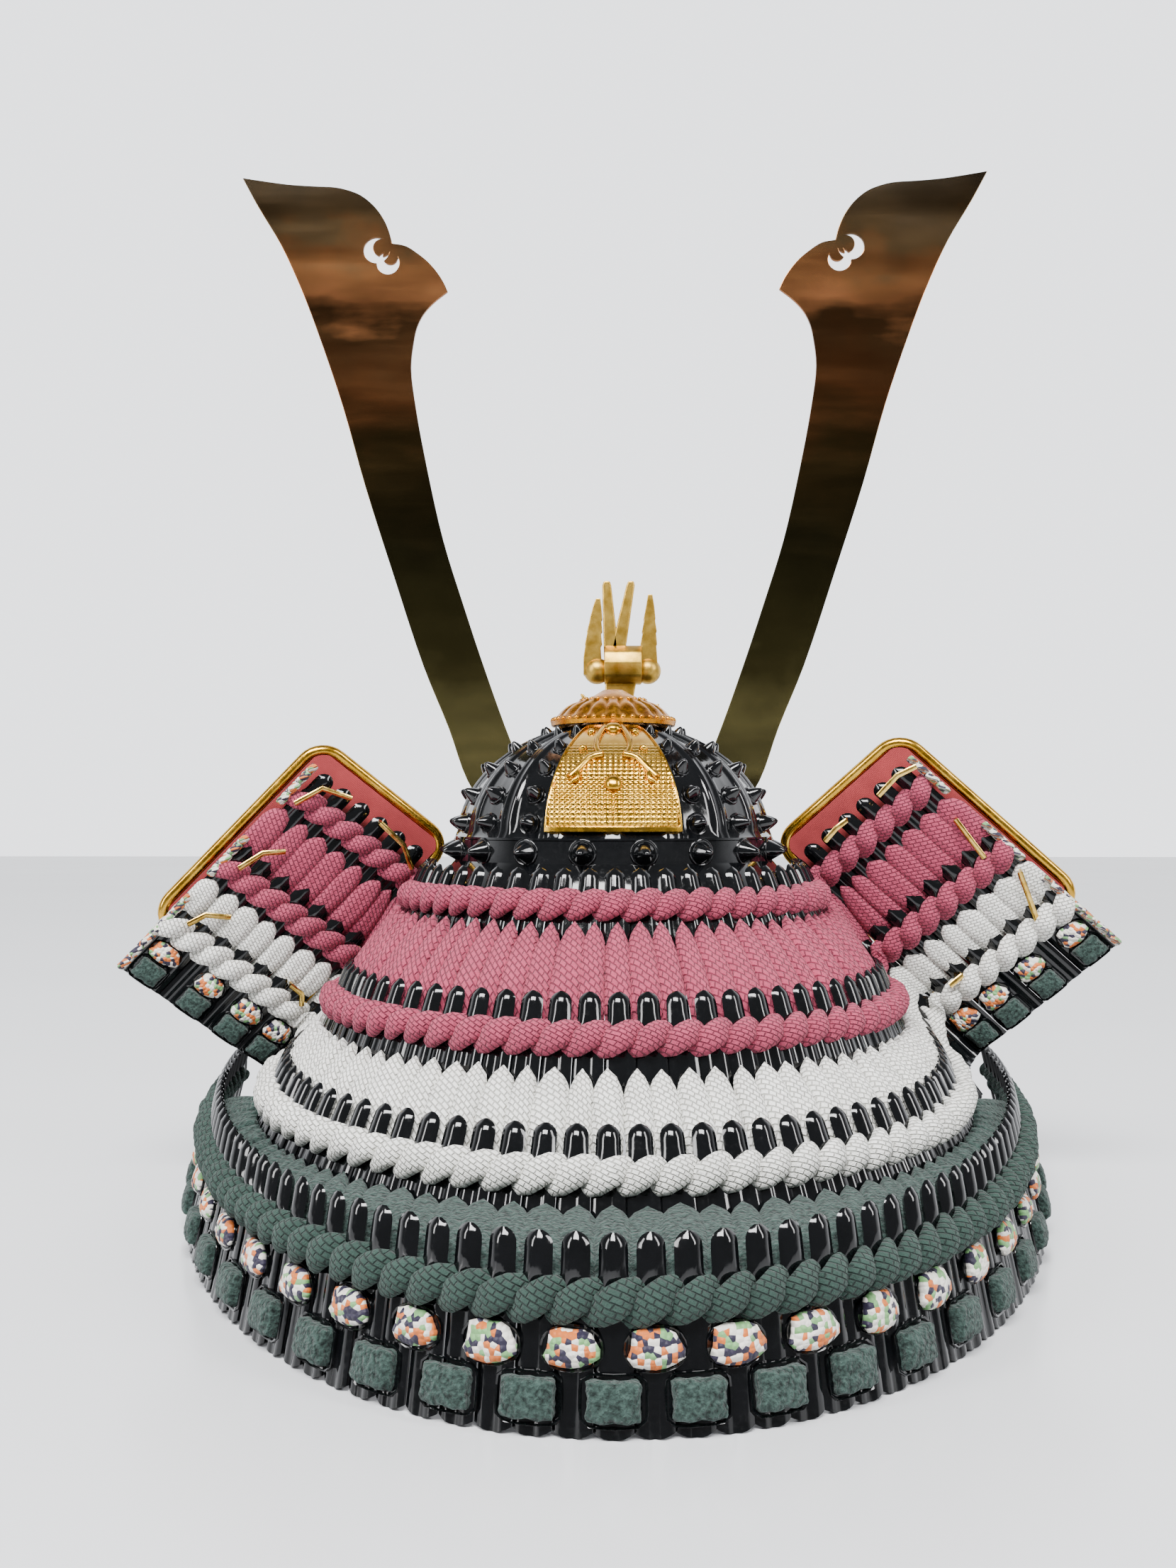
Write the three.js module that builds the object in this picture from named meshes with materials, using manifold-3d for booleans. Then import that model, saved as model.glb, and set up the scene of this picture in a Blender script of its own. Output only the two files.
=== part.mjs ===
// A display kabuto: a studded bowl over a laced neck guard of four lames. The upper three lames turn back
// at the temples into two side flaps. Two flat horn blades and a spiked crest stand on the peak.
// X runs across, Y runs to the back, Z runs up. The neck guard's lowest edge lies on Z = 0.
import * as THREE from "three";
import { mergeVertices } from "three/addons/utils/BufferGeometryUtils.js";
import Module from "manifold-3d";

const wasm = await Module();
wasm.setup();

// Driving sizes, in millimetres, and the fits between pieces.
const scalePitch = 7; // width of one scale of the neck guard
const clearance = 0.3; // gap kept where two pieces meet
const plateWall = 1.6; // thickness of a lame
const headRise = 6; // how far a scale's head stands above the cord row
const cordThickness = 4; // how far the twisted cord row stands out
const loopThickness = 3; // thickness of the upright lacing
const padThickness = 2; // thickness of the green lacing, which lies flat

const bowlRadius = 45.5; // outside the bowl at its foot
const bowlRise = 33.6; // from the bowl's foot to its crown
const bowlWall = 2;
const ribRise = 0.7;
const studHeight = 4;
const studRadius = 1.8;
const studSink = 0.6; // how deep a bowl stud is set in
const bandStudHeight = 5.5;
const bandStudRadius = 3;
const bandStudSink = 0.8;
const bandShow = 7; // part of the band that shows above the scale heads
const bandStep = 1.5; // how far the band stands out from the bowl
const bandWall = 2;
const neckStep = 8.4; // from the band out to the heads of lame 1
const seatHeight = 4; // foot of the band, which carries lame 1

const neckHeight = 96; // table to the heads of lame 1
const guardSpread = 94; // how much further back lame 4 reaches than lame 1
const bladeHeight = 336.5; // table to the tips of the horn blades
const bladeSpan = 132; // bowl axis to a blade's tip
const bladeThickness = 1.2;
const crownRadius = 19; // crown ornament
const crownRise = 10;
const rearPlateWall = 1.2;
const rearPlateTurn = 24; // degrees to each side of the back
const bossThickness = 1.8;
const bossRadius = 2.5;
const peakReach = 24; // how far the peak stands out from the band
const peakWall = 2;
const holderStand = 9; // from the band's foot to the crest holder, along the peak
const holderThickness = 2.4;
const holderHeight = 30;
const holderSpan = 41; // half the width of the crest holder
const crestHeight = 102; // crest holder's foot to the tips of the prongs
const crestThickness = 5;
const clampRadius = 7; // round clamp across the crest
const clampLength = 16;
const lobeRadius = 4.6; // round lobes beside the clamp
const crescentOuter = 4.6; // crescents pierced through the horn blades
const crescentInner = 3.2;
const flapReach = 44; // length of a cord row on a flap
const flapStack = 82; // from the heads of lame 1 to the flap's free edge
const boardWall = 1.5;
const liningWall = 1;
const boardGap = 1.7; // from the laced plates to the red lining
const rimRadius = 1.8;
const cornerRadius = 5; // corners of the flap boards
const knotThickness = 3;
const blockThickness = 3.4;
const braidThickness = 2.4;

// Sizes that follow from the driving ones.
const bandRadius = bowlRadius + bandStep;
const neckRadius = bandRadius + neckStep;
const bowlFoot = neckHeight + bandShow;
const rad = Math.PI / 180;

const black = { color: 0x0b0c0f, roughness: 0.18, metalness: 0 };
const gold = { color: 0xd8b04a, roughness: 0.28, metalness: 1 };
const orangeGold = { color: 0xe0a040, roughness: 0.35, metalness: 1 };
const brass = { color: 0xb59a55, roughness: 0.12, metalness: 1 };
const pink = { color: 0xbe7385, roughness: 0.95, metalness: 0 };
const white = { color: 0xdedfd9, roughness: 0.95, metalness: 0 };
const green = { color: 0x41584f, roughness: 1, metalness: 0 };
const red = { color: 0x8e2323, roughness: 0.8, metalness: 0 };
const multicolour = { color: 0xb08a6c, roughness: 0.9, metalness: 0 };

const helmet = new THREE.Group();

// A closed mesh without normals and uvs becomes a solid for joining and cutting.
function solidOf(geometry) {
  const bare = new THREE.BufferGeometry();
  const source = geometry.index ? geometry.toNonIndexed() : geometry;
  bare.setAttribute("position", source.getAttribute("position").clone());
  const merged = mergeVertices(bare, 1e-4);
  return new wasm.Manifold(
    new wasm.Mesh({
      numProp: 3,
      vertProperties: merged.attributes.position.array,
      triVerts: new Uint32Array(merged.index.array),
    }),
  );
}

function geometryOf(solid) {
  const mesh = solid.getMesh();
  const geometry = new THREE.BufferGeometry();
  geometry.setAttribute("position", new THREE.BufferAttribute(mesh.vertProperties.slice(), 3));
  geometry.setIndex(new THREE.BufferAttribute(mesh.triVerts.slice(), 1));
  geometry.computeVertexNormals();
  return geometry;
}

function place(name, geometry, finish) {
  const mesh = new THREE.Mesh(geometry, new THREE.MeshStandardMaterial(finish));
  mesh.name = name;
  helmet.add(mesh);
  return mesh;
}

// A body of revolution about Z from a profile of [radius, height] pairs.
function turned(profile, segments) {
  const points = profile.map(([radius, height]) => new THREE.Vector2(radius, height));
  return outward(new THREE.LatheGeometry(points, segments).rotateX(Math.PI / 2));
}

// A solid through rings of points, either closed at both ends or joined into a loop.
function loft(rings, isLoop = false) {
  const count = rings[0].length;
  const positions = rings.flat().flatMap((point) => [point.x, point.y, point.z]);
  const index = [];
  const spans = isLoop ? rings.length : rings.length - 1;
  for (let ring = 0; ring < spans; ring += 1) {
    const next = (ring + 1) % rings.length;
    for (let corner = 0; corner < count; corner += 1) {
      const after = (corner + 1) % count;
      const [a, b] = [ring * count + corner, ring * count + after];
      const [c, d] = [next * count + corner, next * count + after];
      index.push(a, b, d, a, d, c);
    }
  }
  if (!isLoop) {
    const last = (rings.length - 1) * count;
    for (let corner = 1; corner < count - 1; corner += 1) {
      index.push(0, corner + 1, corner);
      index.push(last, last + corner, last + corner + 1);
    }
  }
  const geometry = new THREE.BufferGeometry();
  geometry.setAttribute("position", new THREE.Float32BufferAttribute(positions, 3));
  geometry.setIndex(index);
  return outward(geometry);
}

// Turns the faces round if the closed mesh has a negative volume.
function outward(geometry) {
  const position = geometry.getAttribute("position");
  const index = geometry.index.array;
  const [a, b, c] = [new THREE.Vector3(), new THREE.Vector3(), new THREE.Vector3()];
  let volume = 0;
  for (let i = 0; i < index.length; i += 3) {
    a.fromBufferAttribute(position, index[i]);
    b.fromBufferAttribute(position, index[i + 1]);
    c.fromBufferAttribute(position, index[i + 2]);
    volume += a.dot(b.cross(c));
  }
  if (volume < 0) {
    for (let i = 0; i < index.length; i += 3) {
      [index[i + 1], index[i + 2]] = [index[i + 2], index[i + 1]];
    }
  }
  geometry.computeVertexNormals();
  return geometry;
}

// The neck guard's lames. In plan each runs round an arc behind the bowl axis. All lengths are shares:
// spread, centre, width and flare of guardSpread, height, lift and fall of neckHeight, stack of flapStack.
const guardTable = [
  { spread: 0, centre: 0, width: 0, height: 1, lift: 0, fall: 0.146, flare: 0.07, turn: 93 },
  { spread: 0.36, centre: 0.17, width: 0.19, height: 0.72, lift: 0.01, fall: 0.175, flare: 0.075, turn: 97 },
  { spread: 0.617, centre: 0.27, width: 0.34, height: 0.465, lift: 0.05, fall: 0.16, flare: 0.085, turn: 99 },
  { spread: 1, centre: -0.745, width: 0.7, height: 0.35, lift: 0.03, fall: 0.35, flare: 0.09, turn: 83 },
];
// Where the upper three lames run on a flap: heads and foot down the stack, and the fold along the row.
const flapRows = [
  { stack: 0, foot: 0.19, fold: 0 },
  { stack: 0.35, foot: 0.54, fold: -0.12 },
  { stack: 0.63, foot: 0.98, fold: -0.12 },
];
const lameTable = guardTable.map((row, i) => ({ ...row, ...flapRows[i] }));

// Each flap is a flat panel that starts at the temple. Angles are in degrees: rows rise by rowAngle,
// the panel falls by stackAngle, and both lean to the back.
const flapTable = {
  right: { side: -1, rowAngle: 43, stackAngle: 43, rowLean: 14, stackLean: 6 },
  left: { side: 1, rowAngle: 40, stackAngle: 48, rowLean: 18, stackLean: 10 },
};
const templeForward = 0.22; // share of neckRadius from the bowl axis forward to the temple
const templeAcross = 0.985; // share of neckRadius from the bowl axis across to the temple

function flapFrame(flap) {
  const row = new THREE.Vector3(
    flap.side * Math.cos(flap.rowAngle * rad) * Math.cos(flap.rowLean * rad),
    Math.sin(flap.rowLean * rad),
    Math.sin(flap.rowAngle * rad) * Math.cos(flap.rowLean * rad),
  ).normalize();
  const stack = new THREE.Vector3(
    flap.side * Math.cos(flap.stackAngle * rad) * Math.cos(flap.stackLean * rad),
    Math.sin(flap.stackLean * rad),
    -Math.sin(flap.stackAngle * rad) * Math.cos(flap.stackLean * rad),
  ).normalize();
  const origin = new THREE.Vector3(
    flap.side * templeAcross * neckRadius,
    -templeForward * neckRadius,
    neckHeight,
  );
  const back = new THREE.Vector3().crossVectors(row, stack).normalize().multiplyScalar(flap.side);
  return { row, stack, origin, back };
}

const guardSteps = 7;
const flapSteps = 3;
const flapShares = [0.18, 0.59, 1]; // where the rows' points lie along a flap, past the fold

// One edge of a lame on one side, from the middle of the back to the front end or the flap's outer end.
function edgeCurve(lame, flap, isFoot) {
  const centre = lame.centre * guardSpread;
  const reach = neckRadius + lame.spread * guardSpread - centre;
  const halfWidth = neckRadius + lame.width * guardSpread;
  const flare = isFoot ? lame.flare * guardSpread : 0;
  const points = [];
  const steps = lame.stack === undefined ? guardSteps + flapSteps : guardSteps;
  for (let step = 0; step <= steps; step += 1) {
    const share = step / steps;
    const turn = share * lame.turn * rad;
    const top = (lame.height + lame.lift * share * share) * neckHeight;
    const foot = lame.stack === undefined ? 0 : top - lame.fall * neckHeight;
    points.push(
      new THREE.Vector3(
        flap.side * (halfWidth + flare) * Math.sin(turn),
        centre + (reach + flare) * Math.cos(turn),
        isFoot ? foot : top,
      ),
    );
  }
  if (lame.stack !== undefined) {
    const { row, stack, origin } = flapFrame(flap);
    points.pop();
    for (const share of [lame.fold, ...flapShares]) {
      const down = (isFoot ? lame.foot : lame.stack) * flapStack;
      points.push(origin.clone().addScaledVector(row, share * flapReach).addScaledVector(stack, down));
    }
  }
  return new THREE.CatmullRomCurve3(points, false, "centripetal");
}

const lames = lameTable.map((lame) => {
  const sides = {};
  for (const [name, flap] of Object.entries(flapTable)) {
    sides[name] = { top: edgeCurve(lame, flap, false), foot: edgeCurve(lame, flap, true) };
  }
  return sides;
});

// A point of a lame: along runs from -1 at the left end through 0 at the back to 1 at the right end.
// down and out are lengths.
function onLame(lame, along, down, out) {
  const name = along < 0 ? "left" : "right";
  const { top, foot } = lame[name];
  const at = Math.min(Math.abs(along), 1);
  const step = 1e-3;
  const early = Math.max(at - step, 0);
  const late = Math.min(at + step, 1);
  const topPoint = top.getPoint(at);
  const fall = foot.getPoint(at).sub(topPoint);
  const run = top.getPoint(late).sub(top.getPoint(early));
  run.add(foot.getPoint(late).sub(foot.getPoint(early)));
  if (at < step) run.set(flapTable[name].side, 0, 0);
  const normal = new THREE.Vector3().crossVectors(run, fall).normalize();
  normal.multiplyScalar(flapTable[name].side);
  return topPoint.addScaledVector(fall.normalize(), down).addScaledVector(normal, out);
}

function plateLength(lame, along) {
  const { top, foot } = lame[along < 0 ? "left" : "right"];
  const at = Math.min(Math.abs(along), 1);
  return foot.getPoint(at).distanceTo(top.getPoint(at));
}

const headCounts = lames.map((lame) => Math.round(lame.right.top.getLength() / scalePitch));

function stations(first, last, count) {
  return Array.from({ length: count + 1 }, (unused, i) => first + ((last - first) * i) / count);
}

// Places along a lame for what lies on it: one to a scale, and two through the sharp fold at the temple.
const foldAt = (guardSteps - 0.5) / (guardSteps + flapSteps);
const foldWidth = 0.15;
const foldBridge = 0.042; // half the stretch where a cord row goes straight across the fold

function laidStations(i, limit, spacing) {
  return stations(-1, 1, headCounts[i] * 4).filter((along, j) => {
    const isFold = lameTable[i].stack !== undefined && Math.abs(Math.abs(along) - foldAt) < foldWidth;
    return Math.abs(along) <= limit && (isFold || j % spacing === 0);
  });
}

// The lames: each scale's head is a tongue, so the top edge runs up and down.
lames.forEach((lame, i) => {
  const heads = headCounts[i];
  const isLowest = i === lames.length - 1;
  const rings = stations(-1, 1, heads * 4).map((along, j) => {
    const top = j % 2 === 1 ? 0 : headRise;
    const length = plateLength(lame, along);
    const ring = [
      onLame(lame, along, top, 0),
      onLame(lame, along, length, 0),
      onLame(lame, along, length, -plateWall),
      onLame(lame, along, top, -plateWall),
    ];
    if (isLowest) {
      ring[1].z = 0;
      ring[2].z = 0;
    }
    return ring;
  });
  place("lame_" + (i + 1), loft(rings), black);
});

// The twisted cord row on each lame, pressed flat where the lame folds at the temple.
const cordTable = [
  { name: "pink_cord_row_1", finish: pink, start: 0.95, end: 2 },
  { name: "pink_cord_row_2", finish: pink, start: 1.0, end: 2.2 },
  { name: "white_cord_row_3", finish: white, start: 1.0, end: 2.15 },
  { name: "green_cord_row_4", finish: green, start: 1.1, end: 2.3 },
];
const pinchLeast = 0.45; // share of a cord's thickness left in the fold
const cordReach = 0.99; // share of a lame that its cord row covers

function foldPinch(along) {
  const distance = Math.abs(Math.abs(along) - foldAt) * (guardSteps + flapSteps);
  return pinchLeast + (1 - pinchLeast) * Math.min(1, (distance * distance) / 3);
}

cordTable.forEach((cord, i) => {
  const lame = lames[i];
  const hasFold = i < lames.length - 1;
  const places = laidStations(i, cordReach, 2).filter((along) => {
    return !hasFold || Math.abs(Math.abs(along) - foldAt) > foldBridge;
  });
  const rings = places.map((along) => {
    const pinch = hasFold ? foldPinch(along) : 1;
    const near = clearance * (5 - 4 * pinch);
    const out = near + cordThickness * pinch;
    const [start, end] = [cord.start * scalePitch, cord.end * scalePitch];
    const quarter = (end - start) / 4;
    return [
      onLame(lame, along, start, near),
      onLame(lame, along, start + quarter, out),
      onLame(lame, along, end - quarter, out),
      onLame(lame, along, end, near),
    ];
  });
  // The straight stretch across the fold gets one section halfway.
  const bridged = rings.flatMap((ring, j) => {
    const isGap = j > 0 && places[j] - places[j - 1] > foldBridge * 1.5;
    const halfway = () => ring.map((point, k) => point.clone().lerp(rings[j - 1][k], 0.5));
    return isGap ? [halfway(), ring] : [ring];
  });
  place(cord.name, loft(bridged), cord.finish);
});

// The upright lacing between two lames: it runs from under one plate to the heads of the next.
// The green lacing lies nearly flat on the heads of lame 4, so its thickness is upright.
const loopTable = [
  { name: "pink_lacing", finish: pink, upperEnd: 0.97, lowerEnd: 0.97 },
  { name: "white_lacing", finish: white, upperEnd: 0.97, lowerEnd: 0.97 },
  { name: "green_lacing", finish: green, upperEnd: 0.6, lowerEnd: 0.8, isFlat: true },
];
loopTable.forEach((loop, i) => {
  const [upper, lower] = [lames[i], lames[i + 1]];
  const rings = laidStations(i + 1, 1, 4).map((share) => {
    const above = share * loop.upperEnd;
    const below = share * loop.lowerEnd;
    const start = plateLength(upper, above) + clearance;
    if (loop.isFlat) {
      const inner = onLame(upper, above, start, clearance);
      const outer = onLame(lower, below, -clearance, -plateWall / 2);
      const rise = new THREE.Vector3(0, 0, padThickness);
      return [inner.clone().add(rise), outer.clone().add(rise), outer, inner];
    }
    const face = loopThickness * foldPinch(above) - plateWall;
    return [
      onLame(upper, above, start, face),
      onLame(lower, below, -clearance, face),
      onLame(lower, below, -clearance, -plateWall),
      onLame(upper, above, start, -plateWall),
    ];
  });
  place(loop.name, loft(rings), loop.finish);
});

// A row of raised knots or blocks on a thin run of cord, between two places along a lame.
const runHeight = 0.35; // shares of a knot's height and rise that the run between two knots keeps
const runRise = 0.3;
const knotTop = 0.8; // share of a knot's height that is at full rise

function studdedRow(lame, first, last, count, middle, height, rise) {
  const rings = stations(first, last, count * 2).map((along, i) => {
    const isHigh = i % 2 === 1;
    const half = (isHigh ? height : height * runHeight) / 2;
    const out = clearance + (isHigh ? rise : rise * runRise);
    return [
      onLame(lame, along, middle - half, clearance),
      onLame(lame, along, middle - half * knotTop, out),
      onLame(lame, along, middle + half * knotTop, out),
      onLame(lame, along, middle + half, clearance),
    ];
  });
  return loft(rings);
}

const knotHeight = scalePitch;
const blockHeight = 1.15 * scalePitch;
const guardKnots = 24;
const flapKnots = 4;
const lowest = lames[3];
const lowestLength = plateLength(lowest, 0);
const flapStart = (guardSteps + 0.35) / (guardSteps + flapSteps);
const knotRow = 0.57; // shares of the plate's length, down to the middle of each row
const blockRow = 0.815;
const flapKnotRow = 0.66;
const flapBlockRow = 0.88;
const flapSize = 0.84; // the flaps' knots and blocks against the guard's
const guardEnd = 0.97;
const flapEnd = 0.975;

function guardRow(count, share, height, rise) {
  return studdedRow(lowest, -guardEnd, guardEnd, count, share * lowestLength, height, rise);
}
place("guard_knots", guardRow(guardKnots, knotRow, knotHeight, knotThickness), multicolour);
place("guard_blocks", guardRow(guardKnots - 1, blockRow, blockHeight, blockThickness), green);

for (const [name, sign] of [["left", -1], ["right", 1]]) {
  const length = plateLength(lames[2], sign);
  const height = flapSize * knotHeight;
  const flapRow = (share, rise) =>
    studdedRow(lames[2], sign * flapStart, sign * flapEnd, flapKnots, share * length, height, rise);
  place("flap_knots_" + name, flapRow(flapKnotRow, knotThickness), multicolour);
  place("flap_blocks_" + name, flapRow(flapBlockRow, blockThickness), green);
}

// A many-coloured braid binds both ends of lame 4 and the outer end of each flap.
const braidPlace = 0.996; // share of the lame, close to its end

function endBraid(lame, sign, steps) {
  const along = sign * braidPlace;
  const length = plateLength(lame, along);
  const rings = stations(headRise, length - clearance, steps).map((down) => {
    const near = onLame(lame, along, down, clearance);
    const outer = onLame(lame, along, down, clearance + braidThickness);
    const run = onLame(lame, along, down, 0).sub(onLame(lame, sign * cordReach, down, 0)).normalize();
    const shift = run.multiplyScalar(braidThickness);
    return [near, outer, outer.clone().add(shift), near.clone().add(shift)];
  });
  return loft(rings);
}

// The rimmed board in front of each flap, with its red lining towards the plates.
const boardInner = 0.04; // shares of flapReach
const boardOuter = 1.09;
const boardAbove = -0.055; // shares of flapStack
const boardBelow = 0.75;
const cornerTurns = 3;

function boardOutline(grow) {
  const [left, right] = [boardInner * flapReach - grow, boardOuter * flapReach + grow];
  const [top, bottom] = [boardAbove * flapStack - grow, boardBelow * flapStack + grow];
  const radius = cornerRadius + grow;
  const corners = [
    { x: right - radius, y: bottom - radius, start: 0 },
    { x: left + radius, y: bottom - radius, start: 90 },
    { x: left + radius, y: top + radius, start: 180 },
    { x: right - radius, y: top + radius, start: 270 },
  ];
  return corners.flatMap(({ x, y, start }) =>
    stations(0, 90, cornerTurns).map((turn) => {
      const angle = (start + turn) * rad;
      return [x + radius * Math.cos(angle), y + radius * Math.sin(angle)];
    }),
  );
}

function flapPoint(frame, [along, down], forward) {
  return frame.origin
    .clone()
    .addScaledVector(frame.row, along)
    .addScaledVector(frame.stack, down)
    .addScaledVector(frame.back, -forward);
}

function slab(frame, grow, nearFace, farFace) {
  const outline = boardOutline(grow);
  return loft([nearFace, farFace].map((forward) => outline.map((point) => flapPoint(frame, point, forward))));
}

for (const [name, sign] of [["left", -1], ["right", 1]]) {
  const frame = flapFrame(flapTable[name]);
  const liningNear = plateWall + boardGap;
  const boardNear = liningNear + liningWall + clearance;
  place("flap_lining_" + name, slab(frame, 0, liningNear, liningNear + liningWall), red);
  place("flap_board_" + name, slab(frame, 0, boardNear, boardNear + boardWall), black);
  const middle = (liningNear + boardNear + boardWall) / 2;
  const reach = rimRadius + clearance;
  const inner = boardOutline(reach - rimRadius);
  const outer = boardOutline(reach + rimRadius);
  const rimRings = inner.map((point, i) => {
    const mid = [(point[0] + outer[i][0]) / 2, (point[1] + outer[i][1]) / 2];
    const rise = rimRadius * Math.cos(30 * rad);
    const [dx, dy] = [(outer[i][0] - mid[0]) / 2, (outer[i][1] - mid[1]) / 2];
    const near = [mid[0] + dx, mid[1] + dy];
    const far = [mid[0] - dx, mid[1] - dy];
    return [
      flapPoint(frame, point, middle),
      flapPoint(frame, far, middle + rise),
      flapPoint(frame, near, middle + rise),
      flapPoint(frame, outer[i], middle),
      flapPoint(frame, near, middle - rise),
      flapPoint(frame, far, middle - rise),
    ];
  });
  place("flap_rim_" + name, loft(rimRings, true), gold);
  place("flap_braid_" + name, endBraid(lames[2], sign, 3), multicolour);
  place("guard_braid_" + name, endBraid(lowest, sign, 4), multicolour);
}

// The bowl: an upper half of an ellipsoid shell with raised ribs, and columns of conical studs between them.
const fluteCount = 18;
const profileSteps = 7;
const crownOpening = 0.28; // share of the bowl's radius left open under the crown ornament
const studRows = [0.08, 0.27, 0.46, 0.66, 0.86]; // shares of the way up the bowl
const studTaper = 0.35; // share of its size that a stud at the crown loses
const rearPlateRows = [0.06, 0.89]; // foot and top of the rear plate

function bowlPoint(share, inset) {
  const angle = share * (Math.PI / 2 - crownOpening);
  return [(bowlRadius - inset) * Math.cos(angle), bowlFoot + (bowlRise - inset) * Math.sin(angle)];
}

function stud(radius, height, sides) {
  return new THREE.ConeGeometry(radius, height, sides).rotateX(Math.PI / 2);
}

function studAt(radius, height, sides, position, direction) {
  const geometry = stud(radius, height, sides);
  const turn = new THREE.Quaternion().setFromUnitVectors(new THREE.Vector3(0, 0, 1), direction);
  geometry.applyQuaternion(turn);
  geometry.translate(position.x, position.y, position.z);
  return solidOf(geometry);
}

function joinAll(base, solids) {
  return solids.reduce((joined, solid) => joined.add(solid), base);
}

const outerProfile = stations(0, 1, profileSteps).map((share) => bowlPoint(share, 0));
const innerProfile = stations(0, 1, 4).map((share) => bowlPoint(share, bowlWall)).reverse();
const bowlShell = turned([...outerProfile, ...innerProfile, outerProfile[0]], fluteCount * 2);
const shellPosition = bowlShell.getAttribute("position");
const rowLength = outerProfile.length + innerProfile.length + 1;
for (let i = 0; i < shellPosition.count; i += 1) {
  const isRib = Math.floor(i / rowLength) % 2 === 0;
  const isOutside = i % rowLength < outerProfile.length && i % rowLength > 0;
  if (isRib && isOutside) {
    const grow = 1 + ribRise / bowlRadius;
    shellPosition.setX(i, shellPosition.getX(i) * grow);
    shellPosition.setY(i, shellPosition.getY(i) * grow);
  }
}
const fluteTurn = 360 / fluteCount;
const bowlStuds = [];
for (let flute = 0; flute < fluteCount; flute += 1) {
  const turn = (flute + 0.5) * fluteTurn;
  const fromBack = Math.min(turn, 360 - turn);
  if (fromBack > rearPlateTurn + 4) {
    for (const share of studRows) {
      const [radius, height] = bowlPoint(share, 0);
      const angle = share * (Math.PI / 2 - crownOpening);
      const outwardRun = Math.cos(angle) * bowlRise;
      const upRun = Math.sin(angle) * bowlRadius;
      const across = Math.sin(turn * rad);
      const back = Math.cos(turn * rad);
      const direction = new THREE.Vector3(outwardRun * across, outwardRun * back, upRun).normalize();
      const size = 1 - studTaper * share;
      const position = new THREE.Vector3(radius * across, radius * back, height);
      position.addScaledVector(direction, (studHeight * size) / 2 - studSink);
      bowlStuds.push(studAt(studRadius * size, studHeight * size, 4, position, direction));
    }
  }
}
place("bowl", geometryOf(joinAll(solidOf(bowlShell), bowlStuds)), black);

// The band under the bowl: it carries a row of large studs, and its foot runs out to hold lame 1.
const bandTop = bowlFoot - clearance;
const seatTop = neckHeight - headRise;
const seatFoot = seatTop - seatHeight;
const seatLean = (lameTable[0].flare * guardSpread) / (lameTable[0].fall * neckHeight);

function seatReach(height) {
  const gap = (plateWall + clearance * 2) * Math.hypot(1, seatLean);
  return neckRadius + (neckHeight - height) * seatLean - gap;
}

const bandProfile = [
  [bandRadius, bandTop],
  [bandRadius, seatTop + neckStep * 0.8],
  [seatReach(seatTop), seatTop],
  [seatReach(seatFoot), seatFoot],
  [seatReach(seatFoot) - bandWall, seatFoot],
  [bandRadius - bandWall, seatTop],
  [bandRadius - bandWall, bandTop],
  [bandRadius, bandTop],
];
const bandStuds = [];
const bandStudTurn = 360 / fluteCount;
for (let i = 0; i < fluteCount; i += 1) {
  const turn = (i + 0.5) * bandStudTurn * rad;
  const direction = new THREE.Vector3(Math.sin(turn), Math.cos(turn), 0);
  const position = direction.clone().multiplyScalar(bandRadius + bandStudHeight / 2 - bandStudSink);
  position.z = bowlFoot - bandShow / 2;
  bandStuds.push(studAt(bandStudRadius, bandStudHeight, 6, position, direction));
}
place("bowl_band", geometryOf(joinAll(solidOf(turned(bandProfile, 28)), bandStuds)), black);

// The gold plate on the back of the bowl, which lies over the ribs.
const plateSteps = 6;
const plateInset = -(ribRise + clearance);
const rearRings = stations(-rearPlateTurn, rearPlateTurn, 8).map((turn) => {
  const strip = (inset) =>
    stations(...rearPlateRows, plateSteps).map((share) => {
      const [radius, height] = bowlPoint(share, inset);
      return new THREE.Vector3(radius * Math.sin(turn * rad), radius * Math.cos(turn * rad), height);
    });
  return [...strip(plateInset - rearPlateWall), ...strip(plateInset).reverse()];
});
const bossRows = [0.36, 0.84]; // shares of the way up the bowl
const bosses = bossRows.map((share) => {
  const [reach, height] = bowlPoint(share, plateInset - rearPlateWall / 2);
  const angle = share * (Math.PI / 2 - crownOpening);
  const direction = new THREE.Vector3(0, Math.cos(angle) * bowlRise, Math.sin(angle) * bowlRadius);
  const position = new THREE.Vector3(0, reach, height);
  return studAt(bossRadius, bossThickness, 8, position, direction.normalize());
});
function rearBody() {
  const count = plateSteps + 1;
  const positions = rearRings.flat().flatMap((point) => [point.x, point.y, point.z]);
  const index = [];
  const size = count * 2;
  for (let ring = 0; ring < rearRings.length - 1; ring += 1) {
    for (let corner = 0; corner < size; corner += 1) {
      const after = (corner + 1) % size;
      const [a, b] = [ring * size + corner, ring * size + after];
      index.push(a, b, b + size, a, b + size, a + size);
    }
  }
  for (const [start, isLast] of [[0, false], [(rearRings.length - 1) * size, true]]) {
    for (let corner = 0; corner < plateSteps; corner += 1) {
      const [a, b] = [start + corner, start + corner + 1];
      const [c, d] = [start + size - 1 - corner, start + size - 2 - corner];
      if (isLast) index.push(a, b, d, a, d, c);
      else index.push(a, d, b, a, c, d);
    }
  }
  const geometry = new THREE.BufferGeometry();
  geometry.setAttribute("position", new THREE.Float32BufferAttribute(positions, 3));
  geometry.setIndex(index);
  return outward(geometry);
}
place("rear_plate", geometryOf(joinAll(solidOf(rearBody()), bosses)), gold);

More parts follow.
